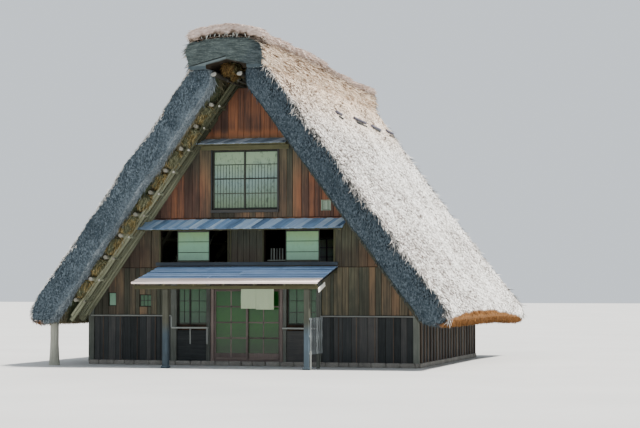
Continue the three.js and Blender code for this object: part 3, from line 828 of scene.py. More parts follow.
def paneFinish(name, colours, rise, darkReflections):
    # painted reflection: glass that mirrors the garden, colours from the window's foot to its head, with soft
    # dark reflected marks
    finish = Finish(name, 0.15, 0.4)
    cloud = finish.strands((1, 1, 0.5), 1.6, 3, 0.6, 0.4)
    up = (finish.axis("Z") - rise[0]) / (rise[1] - rise[0])
    reflection = finish.ramp(up + (cloud - 0.5) * 0.5, *zip((0.1, 0.5, 0.9), colours))
    fleck = finish.strands((1.6, 1.6, 0.8), 7, 4, 0.7)
    dark = finish.mix(0.6, reflection, (16, 30, 26))
    glass = finish.mix(finish.band(fleck, 0.5, 0.7) * darkReflections, reflection, dark)
    return finish.done(glass, finish.spots(3, 1), 0.05, 0.01)


def stoneFinish():
    finish = Finish("sillStone", 0.88, 0.25)
    grains = finish.spots(26, 5, 0.7)
    mixed = grains * 0.5 + finish.spots(2.2, 3, 0.6) * 0.5
    return finish.done(finish.ramp(mixed, (0.3, (84, 82, 78)), (0.7, (150, 147, 140))), grains, 0.5, 0.01)


oldWood = timberFinish("oldTimber", (58, 60, 56), (92, 96, 90), (128, 132, 124))
postWood = timberFinish("porchPosts", (58, 58, 50), (86, 87, 76), (118, 120, 109), stretches=[
    ("X", 2.0, 2.1, (38, 40, 34), (80, 82, 72)), ("Z", 1.35, 0.9, (42, 52, 58), (88, 102, 112))])
oliveWood = timberFinish("oliveTimber", (48, 49, 37), (76, 76, 56), (106, 105, 78))
beamWood = timberFinish("porchBeam", (36, 36, 25), (55, 55, 38), (80, 78, 55))
darkWood = timberFinish("darkBoards", (30, 33, 34), (52, 55, 56), (80, 78, 76))
sillWood = timberFinish("sillTimber", (46, 52, 58), (66, 74, 82), (88, 98, 108))
screenWood = timberFinish("screenSlats", (78, 84, 86), (116, 122, 124), (158, 164, 164))
faintWood = timberFinish("thinBattens", (56, 50, 46), (84, 74, 66), (106, 96, 86))
paleWood = timberFinish("paleBattens", (96, 98, 96), (138, 142, 138), (172, 176, 170))
# painted sunlight: the barge's front end, white where the sun falls on it
sunlitWhiteWood = timberFinish("sunlitWhiteBarge", (206, 206, 192), (236, 236, 224), (252, 252, 244))
ventWood = timberFinish("ventSlats", (128, 146, 128), (164, 184, 164), (196, 214, 194))
tieWood = timberFinish("tiePoles", (72, 71, 80), (102, 101, 112), (136, 134, 144))
redWood = timberFinish("redJoinery", (68, 60, 57), (104, 93, 89), (136, 122, 116), roughness=0.7)
frameWood = timberFinish("windowJoinery", (34, 36, 34), (56, 60, 54), (88, 92, 82), roughness=0.7)
sawnBoard = {"streak": (14, 14, 0.8)}
# painted sky light: the canopy and porch boards are weathered grey, tinted blue and brightened as if sky-lit
# in shade
roofWood = timberFinish("roofBoards", (72, 96, 126), (140, 177, 218), (228, 245, 255), **sawnBoard)
silverWood = timberFinish("silverBoards", (104, 122, 142), (176, 196, 216), (244, 250, 255), **sawnBoard)
porchWood = timberFinish("porchBoards", (122, 150, 186), (160, 189, 228), (204, 226, 250), **sawnBoard)
# the porch's lowest boards: new, pinkish white, partly their own colour and partly painted sunlight where the
# sun reaches past the verge's shadow
newSunlitWood = timberFinish("newSunlitRoofBoards", (250, 222, 212), (255, 240, 231), (255, 251, 246))
# painted shade: the left slope's poles darken higher up, in the thatch's shade; their sawn ends are pale
poleWood = timberFinish("roofPoles", (86, 88, 72), (134, 137, 114), (174, 175, 150), stretches=[
    ("Z", 4.6, 6.8, (44, 46, 36), (86, 88, 68)), ("Y", 5.14, 5.2, (110, 108, 96), (196, 194, 182))])
shadyPoles = timberFinish("shadyPoles", (40, 41, 35), (60, 61, 52), (84, 84, 72))
paleLog = timberFinish("paleLogs", (118, 118, 108), (158, 158, 146), (196, 196, 182))
ridgeLog = timberFinish("ridgeLogs", (40, 38, 34), (58, 56, 50), (80, 78, 70), stretches=[
    ("Y", 6.03, 6.07, (150, 148, 138), (204, 202, 192))])
gableWood = gableFinish()
coreWood = coreFinish()
stone = stoneFinish()
# each kind of pane: its painted reflection's colours upwards, its foot and head, and how strong its dark
# reflected marks are
glasses = {kind: paneFinish(kind + "Panes", *look) for kind, look in {
    "sash": (((116, 152, 130), (128, 174, 142), (136, 174, 122)), (3.01, 3.93), 0.2),
    "third": (((108, 128, 104), (122, 146, 140), (140, 164, 134)), (4.6, 6.2), 0.8),
    "lower": (((38, 70, 50), (54, 90, 62), (46, 82, 52)), (1.18, 2.3), 0.4),
    "door": (((10, 54, 12), (24, 82, 22), (20, 74, 24)), (0.3, 2.2), 0.2),
}.items()}
rope = strawFinish("strawRope", ((70, 52, 26), (122, 94, 50), (168, 136, 82)), (104, 80, 44))

# Board walls of both gables

gable = {
    "depth": 0.84,           # how far under the roof's outer slope the boards end
    "reach": 4.86,           # how far from the middle they go lower down
    "boards": (0.18, 0.22, 0.26, 0.3), "widest": 0.36, "thick": 0.022, "seam": 0.007, "uneven": 0.008,
    "storeys": ((1.47, 2.84), (2.86, 4.28), (4.3, 6.52), (6.54, 8.07)),
    "wainscot": (0.13, 1.41), "battens": (-4.57, -4.03, -3.49, -2.92, 2.67, 3.2, 3.74, 4.28),
    # what each wall leaves open: left, right, low, high
    "front": [(-4.42, -4.18, 1.72, 2.12), (-3.43, -3.06, 1.7, 2.06), (-2.44, -1.11, 1.0, 2.33),
              (-1.2, 1.12, 0, 2.42), (1.12, 2.12, 1.0, 2.33), (-2.77, -0.67, 3.01, 3.93),
              (0.43, 2.53, 3.01, 3.93), (-1.15, 0.85, 4.53, 6.26), (2.18, 2.42, 4.5, 4.75)],
    "back": [(-1, 1, 1.18, 2.3), (-1, 1, 3.01, 3.93), (-0.9, 0.9, 4.53, 6.26)],
}


def upright(x, y, low, high, across, deep, wear=0.005):
    return stick((x, y, low), (x, y, high), across, deep, wear)


def crossbar(z, y, left, right, high, deep, wear=0.005):
    return stick((left, y, z), (right, y, z), high, deep, wear)


def rectanglesRound(left, right, low, high, holes):
    # the plain rectangles that are left of a wall stretch round its holes
    edges = sorted({left, right, *(x for hole in holes for x in hole[:2] if left < x < right)})
    rectangles = []
    for x0, x1 in zip(edges, edges[1:]):
        cuts = sorted((hole[2], hole[3]) for hole in holes
                      if hole[0] < (x0 + x1) / 2 < hole[1] and hole[3] > low and hole[2] < high)
        bottom = low
        for start, stop in cuts + [(high, high)]:
            if start - bottom > 0.04:
                rectangles.append((x0, x1, bottom, start))
            bottom = max(bottom, stop)
    return rectangles


def boardsIn(x, right, low, high, face):
    made = []
    while x < right - 0.01:
        width = dice.choice(gable["boards"])
        if right - x - width < 0.1:
            width = min(right - x, gable["widest"])
        y = face * (wallFace + gable["thick"] / 2 + dice.uniform(0, gable["uneven"]))
        made.append(upright(x + width / 2, y, low, high, round(width - gable["seam"], 2), gable["thick"],
                            0.004))
        x += width
    return made


def boardsRound(wall, face, title, low, high, reach):
    return joined(title, [board for rectangle in rectanglesRound(-reach, reach, low, high, gable[wall])
                          for board in boardsIn(*rectangle, face)])


def boardWalls(wall, face):
    top = (0, 0, roof["apex"] - gable["depth"] / outward.z)
    for number, (low, high) in enumerate(gable["storeys"], 1):
        reach = min(halfWidth(gable["depth"], low), gable["reach"])
        boards = boardsRound(wall, face, "gable_boards_%s_%d" % (wall, number), low, high, reach)
        for side in (-1, 1):
            sawn(boards, top, (side * outward.x, 0, outward.z))
        dress(boards, gableWood)
    boards = boardsRound(wall, face, "wainscot_boards_" + wall, *gable["wainscot"], gable["reach"])
    dress(boards, darkWood)
    print("boards", wall)


boardWalls("front", -1)
boardWalls("back", 1)

# Posts, rails and sills that frame the gable walls. Each one: left, right, low, high, how proud of the boards

framing = {
    "front": {
        "old": [(-5.03, -4.86, 0.12, 1.72, 0.05), (4.86, 5.03, 0.12, 1.72, 0.05),
                (-2.42, -2.24, 0.12, 2.84, 0.06), (-1.31, -1.2, 0.12, 2.6, 0.06),
                (1.02, 1.12, 0.12, 2.6, 0.04), (2.06, 2.16, 0.12, 2.84, 0.05)],
        "sill": [(-2.9, 2.66, 2.9, 3.0, 0.05)],
        "dark": [(-2.24, -1.31, 0.12, 1.02, 0.0), (1.12, 2.06, 0.12, 1.02, 0.0),
                 (-1.19, -1.15, 4.44, 6.28, 0.045), (0.85, 0.89, 4.44, 6.28, 0.045),
                 (-1.19, 0.89, 4.44, 4.52, 0.06)],
        "olive": [(-1.5, 1.2, 6.27, 6.4, 0.06), (-2.9, 2.66, 3.94, 4.02, 0.045),
                  (-2.24, -1.31, 2.31, 2.42, 0.04), (1.12, 2.06, 2.31, 2.42, 0.04),
                  (-0.6, -0.57, 2.86, 4.28, 0.03), (-2.8, -2.76, 3.0, 3.94, 0.035),
                  (2.53, 2.57, 3.0, 3.94, 0.035), (0.39, 0.43, 3.0, 3.94, 0.035),
                  (-0.67, -0.64, 3.0, 3.94, 0.035)],
        "pale": [(-4.95, -2.38, 1.42, 1.46, 0.06), (2.11, 4.95, 1.42, 1.46, 0.06),
                 (-2.42, -2.38, 1.1, 1.42, 0.065), (-2.36, -1.24, 1.07, 1.115, 0.16),
                 (-1.3, -1.25, 0.62, 1.07, 0.1), (-1.84, -1.81, 0.62, 1.07, 0.02),
                 (1.02, 2.1, 1.07, 1.115, 0.12)],
    },
    "back": {
        "old": [(-5.03, -4.86, 0.12, 1.72, 0.05), (4.86, 5.03, 0.12, 1.72, 0.05),
                (-2.95, 2.95, 2.84, 2.94, 0.05), (-1.1, -1.0, 0.12, 2.84, 0.04),
                (1.0, 1.1, 0.12, 2.84, 0.04), (-1.1, 1.1, 1.08, 1.18, 0.06), (-1.1, 1.1, 2.3, 2.4, 0.05),
                (-1.1, -1.0, 2.94, 4.0, 0.04), (1.0, 1.1, 2.94, 4.0, 0.04)],
        "dark": [(-1.0, -0.91, 4.44, 6.28, 0.045), (0.91, 1.0, 4.44, 6.28, 0.045),
                 (-1.0, 1.0, 4.42, 4.52, 0.06)],
        "olive": [(-1.3, 1.3, 6.27, 6.4, 0.06), (-1.15, 1.15, 3.94, 4.04, 0.045)],
        "pale": [(-4.95, 4.95, 1.42, 1.46, 0.06)],
    },
    "looks": {"old": oldWood, "dark": darkWood, "olive": oliveWood, "pale": paleWood, "sill": sillWood},
    "batten": {"out": 0.035, "across": 0.024, "deep": 0.03},
}


def framingOf(wall, face):
    for look, members in framing[wall].items():
        parts = []
        for left, right, low, high, proud in members:
            deep = gable["thick"] + 0.01 + proud
            y = face * (wallFace + deep / 2)
            if right - left < high - low:
                parts.append(upright((left + right) / 2, y, low, high, right - left, deep))
            else:
                parts.append(crossbar((low + high) / 2, y, left, right, high - low, deep))
        piece("framing_%s_%s" % (look, wall), parts, framing["looks"][look],
              "dark_boards" if look == "dark" else "weathered_timber")
    batten = framing["batten"]
    battens = [upright(x, face * (wallFace + batten["out"]), *gable["wainscot"], batten["across"],
                       batten["deep"])
               for x in gable["battens"]]
    piece("wainscot_battens_" + wall, battens, faintWood)


framingOf("front", -1)
framingOf("back", 1)

# Windows and sliding doors

leaf = {
    "stile": 0.045, "rail": 0.05, "deep": 0.035, "face": -1, "y": 4.0, "steps": (0.012, -0.012),
    # the depth of bars, lattice and panel as shares of the frame's, and the pane's own
    "barShare": 0.7, "latticeShare": 0.5, "panelShare": 0.4, "pane": 0.005,
}
# crossbars: height and thickness; uprights: share of the leaf's width and thickness
kinds = {
    "third": {"rise": (4.533, 6.257), "crossbars": ((5.84, 0.024), (5.43, 0.036), (5.0, 0.024)),
              "lattice": {"pitch": 0.093, "thick": 0.014, "to": 5.84}},
    "sash": {"rise": (3.013, 3.927), "crossbars": ((3.6, 0.018), (3.29, 0.018))},
    "lower": {"rise": (1.183, 2.297), "crossbars": ((1.87, 0.02), (1.55, 0.02)), "uprights": ((0.5, 0.02),)},
    "light": {"stile": 0.02, "rail": 0.02},
}
windows = {
    "third_window_front": ("third", {"leaves": ((-1.147, -0.16), (-0.195, 0.847))}),
    "second_sash_left": ("sash", {"leaves": ((-2.267, -1.253),), "stile": 0.03}),
    "second_sash_right": ("sash", {"leaves": ((1.063, 2.087),), "stile": 0.03}),
    "front_window_left": ("lower", {"leaves": ((-2.227, -1.84), (-1.88, -1.293))}),
    "front_window_right": ("lower", {
        "leaves": ((1.133, 1.68), (1.64, 2.047)), "crossbars": ((1.88, 0.02), (1.55, 0.02))}),
    "side_light_outer": ("light", {"leaves": ((-4.417, -4.183),), "rise": (1.723, 2.117), "glass": "sash"}),
    "side_light_inner": ("light", {
        "leaves": ((-3.427, -3.063),), "rise": (1.703, 2.057), "glass": "lower",
        "uprights": ((0.33, 0.016), (0.66, 0.016)), "crossbars": ((1.88, 0.016),)}),
    "third_window_back": ("third", {"leaves": ((-0.897, 0.02), (-0.02, 0.897)), "face": 1}),
    "second_window_back": ("sash", {"leaves": ((-0.997, 0.02), (-0.02, 0.997)), "face": 1}),
    "ground_window_back": ("lower", {"leaves": ((-0.997, 0.02), (-0.02, 0.997)), "face": 1}),
}


def sash(x0, x1, z0, z1, y, look):
    # one leaf: two stiles, two rails, bars between them, and a pane
    stile, rail, deep = look["stile"], look["rail"], look["deep"]
    left, right, middle = x0 + stile, x1 - stile, (x0 + x1) / 2
    parts = [upright(x, y, z0, z1, stile, deep) for x in (x0 + stile / 2, x1 - stile / 2)]
    parts += [crossbar(z, y, left, right, rail, deep) for z in (z0 + rail / 2, z1 - rail / 2)]
    for z, thick in look.get("crossbars", ()):
        parts.append(crossbar(z, y, left, right, thick, deep * look["barShare"], 0.003))
    for share, thick in look.get("uprights", ()):
        parts.append(upright(x0 + (x1 - x0) * share, y, z0 + rail, z1 - rail, thick, deep * look["barShare"],
                             0.003))
    lattice = look.get("lattice")
    count = round((right - left) / lattice["pitch"]) if lattice else 0
    for number in range(1, count):
        x = left + (right - left) * number / count
        parts.append(upright(x, y, z0 + rail, lattice["to"], lattice["thick"], deep * look["latticeShare"],
                             0.002))
    low = look.get("panel", z0 + rail)
    if "panel" in look:
        parts.append(upright(middle, y, z0 + rail, low, right - left, deep * look["panelShare"], 0.003))
    return parts, upright(middle, y, low, z1 - rail, right - left, look["pane"], 0.001)


def windowOf(node, kind, settings):
    look = {**leaf, "glass": kind, **kinds[kind], **settings}
    parts, panes = [], []
    for (left, right), step in zip(look["leaves"], look["steps"]):
        made, pane = sash(left, right, *look["rise"], look["face"] * (look["y"] + step), look)
        parts += made
        panes.append(pane)
    piece("frame_" + node, parts, frameWood, "joinery", replaces=[node])
    piece("panes_" + node, panes, glasses[look["glass"]], "pane")


for node, (kind, settings) in windows.items():
    windowOf(node, kind, settings)

door = {
    "rise": (0.18, 2.214), "stile": 0.06, "rail": 0.06, "deep": 0.034, "panel": 0.36,
    "crossbars": ((0.8, 0.04), (1.25, 0.04), (1.71, 0.04)), "uprights": ((0.5, 0.032),),
    "left": {"span": (-1.104, -0.07), "y": -4.02}, "right": {"span": (-0.13, 0.904), "y": -3.96},
}


def slidingDoor(side):
    place, body = door[side], "door_" + side
    parts, pane = sash(*place["span"], *door["rise"], place["y"], {**leaf, **door})
    piece("door_frame_" + side, parts, redWood, "joinery", body, ["entrance_door_" + side])
    piece("door_panes_" + side, [pane], glasses["door"], "pane", body)


slidingDoor("left")
slidingDoor("right")

# The door's jambs, header, sill and rails, the vent's slats, and the low rail in the right bay's dark half.
# Uprights: x, y, low, high, across, deep, wear. Crossbars: z, y, left, right, high, deep, wear.
barwork = {
    "door_surround": {
        "uprights": [(x, -3.99, 0.12, 2.33, 0.09, 0.18) for x in (-1.155, 0.955)],
        "crossbars": [(z, -3.99, -1.11, 0.91, high, 0.18) for z, high in ((2.275, 0.11), (0.14, 0.04))] + [
            (0.17, door[side]["y"], -1.11, 0.91, 0.018, 0.01, 0.002) for side in ("left", "right")]},
    "vent_slats": {
        "uprights": [(2.2 + 0.046 * number, -4.04, 4.5, 4.75, 0.036, 0.012, 0.003) for number in range(5)] + [
            (x, -4.05, 4.47, 4.78, 0.02, 0.07) for x in (2.168, 2.432)],
        "crossbars": [(z, -4.05, 2.15, 2.45, 0.02, 0.07) for z in (4.485, 4.765)]},
    "bay_balusters": {
        "uprights": [(0.62 + 0.085 * number, -3.96, 3.03, 3.4, 0.035, 0.025) for number in range(5)],
        "crossbars": [(3.05, -3.96, 0.5, 1.05, 0.035, 0.03)]},
}


def barsOf(name):
    return joined(name, [upright(*bar) for bar in barwork[name]["uprights"]] + [
        crossbar(*bar) for bar in barwork[name]["crossbars"]])


dress(barsOf("door_surround"), redWood, replaces=["door_frame"])
dress(barsOf("vent_slats"), ventWood)
dress(barsOf("bay_balusters"), oldWood)
print("openings")

# Board canopies over the window rows, and the porch roof

canopies = {
    "upper": {"spans": {-1: (-1.48, 1.2), 1: (-1.33, 1.33)}, "top": 6.6, "drop": 0.17, "reach": 0.43,
              "brackets": 3},
    "middle": {"spans": {-1: (-3.2, 2.93), 1: (-2.93, 2.93)}, "top": 4.26, "drop": 0.3, "reach": 0.56,
               "brackets": 6},
    "boards": {"wide": 0.22, "thick": 0.02, "pitch": 0.19, "lap": 0.008, "askew": 0.26, "start": 0.14,
               "spare": 1.2},
    "bracket": {"wide": 0.07, "inset": 0.1}, "batten": {"high": 0.04, "deep": 0.05},
}


def canopy(name, face):
    # lapped boards run down the slope a little askew, over a batten and brackets
    shape, boards, bracket, batten = (canopies[part] for part in (name, "boards", "bracket", "batten"))
    left, right = shape["spans"][face]
    end = endNames[face]
    top, drop, reach, spare = shape["top"], shape["drop"], shape["reach"], boards["spare"]
    facing = (0, face * drop, reach)
    parts = []
    for number in range(math.ceil((right - left + boards["askew"]) / boards["pitch"]) + 1):
        x = left + boards["start"] + boards["pitch"] * number
        lap = boards["lap"] * (number % 2)
        parts.append(stick(
            (x - boards["askew"] * spare, face * (wallFace + reach * spare), top - drop * spare + lap),
            (x, face * (wallFace + 0.005), top - 0.012 + lap), boards["wide"], boards["thick"], 0.005,
            facing))
    made = joined("canopy_boards_%s_%s" % (name, end), parts)
    sawn(made, (right, 0, 0), (1, 0, 0))
    sawn(made, (0, face * (wallFace + reach), 0), (0, face, 0))
    dress(made, silverWood if name == "upper" else roofWood,
          replaces=["%s_canopy_%s" % (name, end)])
    low, inset, count = top - drop - 0.035, bracket["inset"], shape["brackets"]
    under = []
    for number in range(count):
        x = left + inset + (right - left - 2 * inset) * number / (count - 1)
        under.append(stick((x, face * (wallFace + reach - 0.04), low),
                           (x, face * (wallFace + 0.01), top - 0.07), bracket["wide"], bracket["wide"],
                           facing=facing))
    y = face * (wallFace + reach - batten["deep"])
    under.append(crossbar(low + 0.015, y, left, right, batten["high"], batten["deep"]))
    piece("canopy_brackets_%s_%s" % (name, end), under, oliveWood)


for face in (-1, 1):
    canopy("upper", face)
    canopy("middle", face)
print("canopies")

porch = {
    "span": (-2.84, 2.64), "reach": 2.1, "high": 2.89, "low": 2.42,
    # rows of boards from the wall down, the lowest ones new, and pale as painted sunlight
    "courses": 7, "newSunlitCourses": 2, "lap": 0.12, "thick": 0.02, "joints": (0.2, 0.8),
    "uneven": (-0.002, 0.004), "fascia": {"high": 0.045, "deep": 0.02},
    "rafters": {"count": 7, "inset": 0.06, "wide": 0.06, "high": 0.075},
    "plate": {"z": 2.75, "y": -4.1, "inset": 0.02, "high": 0.16, "deep": 0.07},
    "edge": {"inset": 0.012, "wide": 0.022, "high": 0.07},
    "barge": {"from": (-5.4, 2.36), "to": (-6.02, 2.19), "wide": 0.024, "high": 0.13},
    "beam": {"y": -5.95, "z": 2.269, "high": 0.1, "deep": 0.14, "span": (-2.8, 2.6)},
    "posts": {"left": -1.86, "right": 2.3}, "post": {"top": 2.218, "wide": 0.16, "foot": 0.22},
    "screenPost": (2.335, -5.0, 0, 2.53, 0.09, 0.09, 0.01),
}


def porchSlope(share, lift=0.0):
    # a point on the porch roof's top, by its share of the way down
    return (-(wallFace + 0.003 + porch["reach"] * share),
            porch["high"] - (porch["high"] - porch["low"]) * share + lift)


def downPorch(x, start, stop, look):
    # a timber down the porch roof's slope between two points of it
    facing = (0, porch["low"] - porch["high"], porch["reach"])
    return stick((x, *start), (x, *stop), look["wide"], look["high"], facing=facing)


def porchCourse(number):
    # one row of boards, joined end to end at two places of its own
    left, right = porch["span"]
    y0, z0 = porchSlope(number / porch["courses"], -0.03)
    y1, z1 = porchSlope(min((number + 1 + porch["lap"]) / porch["courses"], 1), -0.012)
    y, z, width = (y0 + y1) / 2, (z0 + z1) / 2, round(math.hypot(y1 - y0, z1 - z0), 3)
    cuts = [left, *sorted(left + (right - left) * dice.uniform(*porch["joints"]) for _ in range(2)), right]
    return [stick(*((x, y, z + dice.uniform(*porch["uneven"])) for x in (x0 + 0.003, x1 - 0.003)), width,
                  porch["thick"], 0.004, facing=(0, z1 - z0, y0 - y1)) for x0, x1 in zip(cuts, cuts[1:])]


def porchRoof():
    left, right = porch["span"]
    fascia, rafters, plate, edge, barge = map(porch.get, ("fascia", "rafters", "plate", "edge", "barge"))
    rows = [porchCourse(number) for number in range(porch["courses"])]
    firstNewSunlit = porch["courses"] - porch["newSunlitCourses"]
    old = [board for row in rows[:firstNewSunlit] for board in row]
    # the lowest courses, pale as painted sunlight
    new = [board for row in rows[firstNewSunlit:] for board in row]
    y, z = porchSlope(0.995, -0.033)
    new.append(crossbar(z, y + 0.012, left, right, fascia["high"], fascia["deep"]))
    piece("porch_old_boards", old, porchWood, "roof_boards", replaces=["porch_roof"])
    piece("porch_new_boards", new, newSunlitWood, "new_boards")
    parts = []
    for number in range(rafters["count"]):
        x = left + rafters["inset"] + (right - left - 2 * rafters["inset"]) * number / (rafters["count"] - 1)
        parts.append(downPorch(x, porchSlope(0.005, -0.085), porchSlope(0.97, -0.085), rafters))
    parts.append(crossbar(plate["z"], plate["y"], left + plate["inset"], right - plate["inset"],
                          plate["high"], plate["deep"]))
    piece("porch_rafters", parts, oliveWood)
    edges = [downPorch(x, porchSlope(0.0, -0.06), porchSlope(0.97, -0.06), edge)
             for x in (left + edge["inset"], right - edge["inset"])]
    piece("porch_edges", edges, darkWood, "dark_boards")
    # only the barge's sunlit front end, white as painted sunlight
    board = downPorch(right + 0.005, barge["from"], barge["to"], barge)
    piece("porch_barge", [board], sunlitWhiteWood, "new_boards")


def porchFrame():
    beam, post = porch["beam"], porch["post"]
    timber = crossbar(beam["z"], beam["y"], *beam["span"], beam["high"], beam["deep"], 0.012)
    piece("porch_beam_timber", [timber], beamWood, replaces=["porch_beam"])
    for name, x in porch["posts"].items():
        parts = [upright(x, beam["y"], 0.05, post["top"], post["wide"], post["wide"], 0.018),
                 upright(x, beam["y"], 0.0, 0.07, post["foot"], post["foot"], 0.02)]
        piece("porch_post_timber_" + name, parts, postWood, replaces=["porch_post_" + name])
    piece("screen_post_timber", [upright(*porch["screenPost"])], oldWood,
          replaces=["porch_screen_post"])


screen = {
    "x": 2.4, "rise": (0.42, 1.43), "span": (-6.03, -4.8), "slats": 6, "inset": 0.08, "wide": 0.17,
    "thick": 0.02, "waves": 2, "waist": 0.55, "cuts": 15,
    "rail": {"x": 2.385, "high": 0.05, "deep": 0.02, "inset": 0.03},
    "stile": {"x": 2.41, "wide": 0.04, "deep": 0.05},
}


def porchScreen():
    # upright slats cut to a wavy outline beside the right post, on three rails
    (low, high), (front, back) = screen["rise"], screen["span"]
    rail, stile = screen["rail"], screen["stile"]
    parts = []
    for number in range(screen["slats"]):
        y = front + screen["inset"] + (back - front - 2 * screen["inset"]) * number / (screen["slats"] - 1)
        slat = stick((screen["x"], y, low), (screen["x"], y, high), screen["thick"], screen["wide"], 0.004)
        edit(slat, "EDGE")
        pickEdges(lambda at, direction: abs(direction.z) > 0.9)
        bpy.ops.mesh.subdivide(number_cuts=screen["cuts"])
        done()
        for vertex in slat.data.vertices:
            wave = abs(math.sin((vertex.co.z - low) / (high - low) * screen["waves"] * math.pi))
            vertex.co.y = y + (vertex.co.y - y) * (1 - screen["waist"] * wave)
        parts.append(slat)
    for z in (low + rail["inset"], (low + high) / 2, high - rail["inset"]):
        parts.append(stick((rail["x"], front, z), (rail["x"], back, z), rail["high"], rail["deep"], 0.004,
                           (1, 0, 0)))
    piece("porch_screen_slats", parts, screenWood, replaces=["porch_screen"])
    foot = upright(stile["x"], front + 0.03, 0, low + 0.1, stile["wide"], stile["deep"], 0.006)
    piece("screen_stile", [foot], paleWood)


porchRoof()
porchFrame()
porchScreen()
print("porch")

# Purlins, rafters, ridge logs and the rope round them

poles = {
    "purlins": 10, "first": 1.9, "pitch": 0.62, "depth": 0.8583, "radius": 0.058, "reach": 5.28,
    "tied": (-4.85, -3.98, 3.98, 4.85),
    "rafters": {"at": (-4.85, -3.98, -2.0, 0.0, 2.0, 3.98, 4.85), "depth": 0.955, "radius": 0.065,
                "foot": 1.31, "tops": (8.3, 8.36)},       # the outer ones go higher
    # thinner poles under the eaves' overhang, outside the gable walls
    "outer": {"at": (-4.98, -4.45, 4.45, 4.98), "depth": 0.925, "rise": (1.45, 8.1), "radius": 0.035},
    # poles against the gable walls: how far out, depth at the foot and at the top, top's height, radius
    "beside": ((0.09, 0.88, 0.82, 7.9, 0.04), (0.1, 0.97, 0.86, 7.2, 0.045), (0.08, 1.05, 0.93, 6.4, 0.04)),
    # boards that close the slit between the wall and the thatch
    "slit": {"y": 3.98, "depth": 0.88, "rise": (1.32, 8.3), "across": 0.12, "high": 0.18},
    # short second poles beside the left purlins' ends
    "second": {"lower": 0.04, "inside": 0.26, "span": (4.9, 5.2), "radius": 0.034},
    "rope": {"radius": 0.014, "turns": (-1, 0, 1), "pitch": 1.9, "lean": 0.12},
}


def ropeRing(radius):
    # turns of straw rope lying side by side
    key, look = ("rope", radius), poles["rope"]
    if key not in masters:
        turns = []
        for number in look["turns"]:
            place = (0, 0, number * look["radius"] * look["pitch"])
            turn = added(bpy.ops.mesh.primitive_torus_add, major_segments=11, minor_segments=4,
                         major_radius=radius, minor_radius=look["radius"], location=place)
            edit(turn, pick="SELECT")
            bpy.ops.transform.rotate(value=look["lean"] * number, orient_axis="X", center_override=(0, 0, 0))
            done()
            turns.append(settle(turn))
        masters[key] = smooth(joined("ropeMaster", turns))
    return masters[key]


def ropeAt(place, radius):
    # a ring round a timber that runs from front to back
    turn = Vector((0, 1, 0)).to_track_quat("Z", "Y").to_matrix().to_4x4()
    spin = Matrix.Rotation(dice.uniform(0, 6.28), 4, "Z")
    item = twinOf(ropeRing(radius), Matrix.Translation(Vector(place)) @ turn @ spin)
    for value in item.data.attributes.new("tone", "FLOAT", "POINT").data:
        value.value = 0.3 + 0.4 * dice.random()
    return item


def roofFrame(side):
    name = sideNames[side]
    parts, ties = [], []
    for number in range(poles["purlins"]):
        z = poles["first"] + poles["pitch"] * number
        x = side * halfWidth(poles["depth"], z)
        lean = dice.uniform(-0.02, 0.02)
        parts.append(pole((x, -poles["reach"], z + lean), (x, poles["reach"], z - lean), poles["radius"]))
        for y in poles["tied"]:
            ties.append(ropeAt((x + side * 0.02, y + 0.09, z + 0.03), poles["radius"] + 0.016))
    finish = poleWood if side < 0 else shadyPoles
    piece("roof_poles_" + name, parts + rafterPoles(side), finish, replaces=["roof_frame_" + name])
    piece("roof_ties_" + name, ties, rope, "straw_rope")


def upSlope(side, y, depths, rise, *settings):
    # a pole up the slope, from a depth and height at its foot to those at its top
    (foot, head), (low, high) = depths, rise
    return pole((side * halfWidth(foot, low), y, low), (side * halfWidth(head, high), y, high), *settings)


def rafterPoles(side):
    rafters, outer, slit, second = (poles[key] for key in ("rafters", "outer", "slit", "second"))
    made = [upSlope(side, y, (rafters["depth"],) * 2, (rafters["foot"], rafters["tops"][abs(y) > 3]),
                    rafters["radius"], 0.85) for y in rafters["at"]]
    made += [upSlope(side, y, (outer["depth"],) * 2, outer["rise"], outer["radius"], 0.8, 7)
             for y in outer["at"]]
    for end in (-1, 1):
        made += [upSlope(side, end * (wallFace + out), (foot, head), (outer["rise"][0], top), radius, 0.8, 7)
                 for out, foot, head, top, radius in poles["beside"]]
        made.append(stick(*((side * halfWidth(slit["depth"], z), end * slit["y"], z) for z in slit["rise"]),
                          slit["across"], slit["high"], facing=(side * outward.x, 0, outward.z)))
        for number in range(poles["purlins"] if side < 0 else 0):
            z = poles["first"] + poles["pitch"] * number - second["lower"]
            x = side * (halfWidth(poles["depth"], z) - second["inside"])
            start, stop = second["span"]
            made.append(pole((x, end * start, z), (x, end * (stop + dice.uniform(-0.03, 0.03)), z),
                             second["radius"], 0.9, 7))
    return made


logs = {
    "x": {-1: -0.41, 1: 0.36}, "y": 6.2, "z": 8.25, "fall": 0.02, "radius": 0.075,
    "sawn": {"y": 6.1, "normal": (-0.2, 0.62, 0.77)},        # ends aslant, so that they look flat from below
    "inner": {"x": 0.16, "y": 5.6, "z": 8.1, "radius": 0.035},
    "struts": {"at": (-3.0, 1.0, 3.0), "x": 0.42, "z": 8.05, "radius": 0.035},
    "tied": (-4.6, -2.9, 1.1, 2.9, 4.6),
}


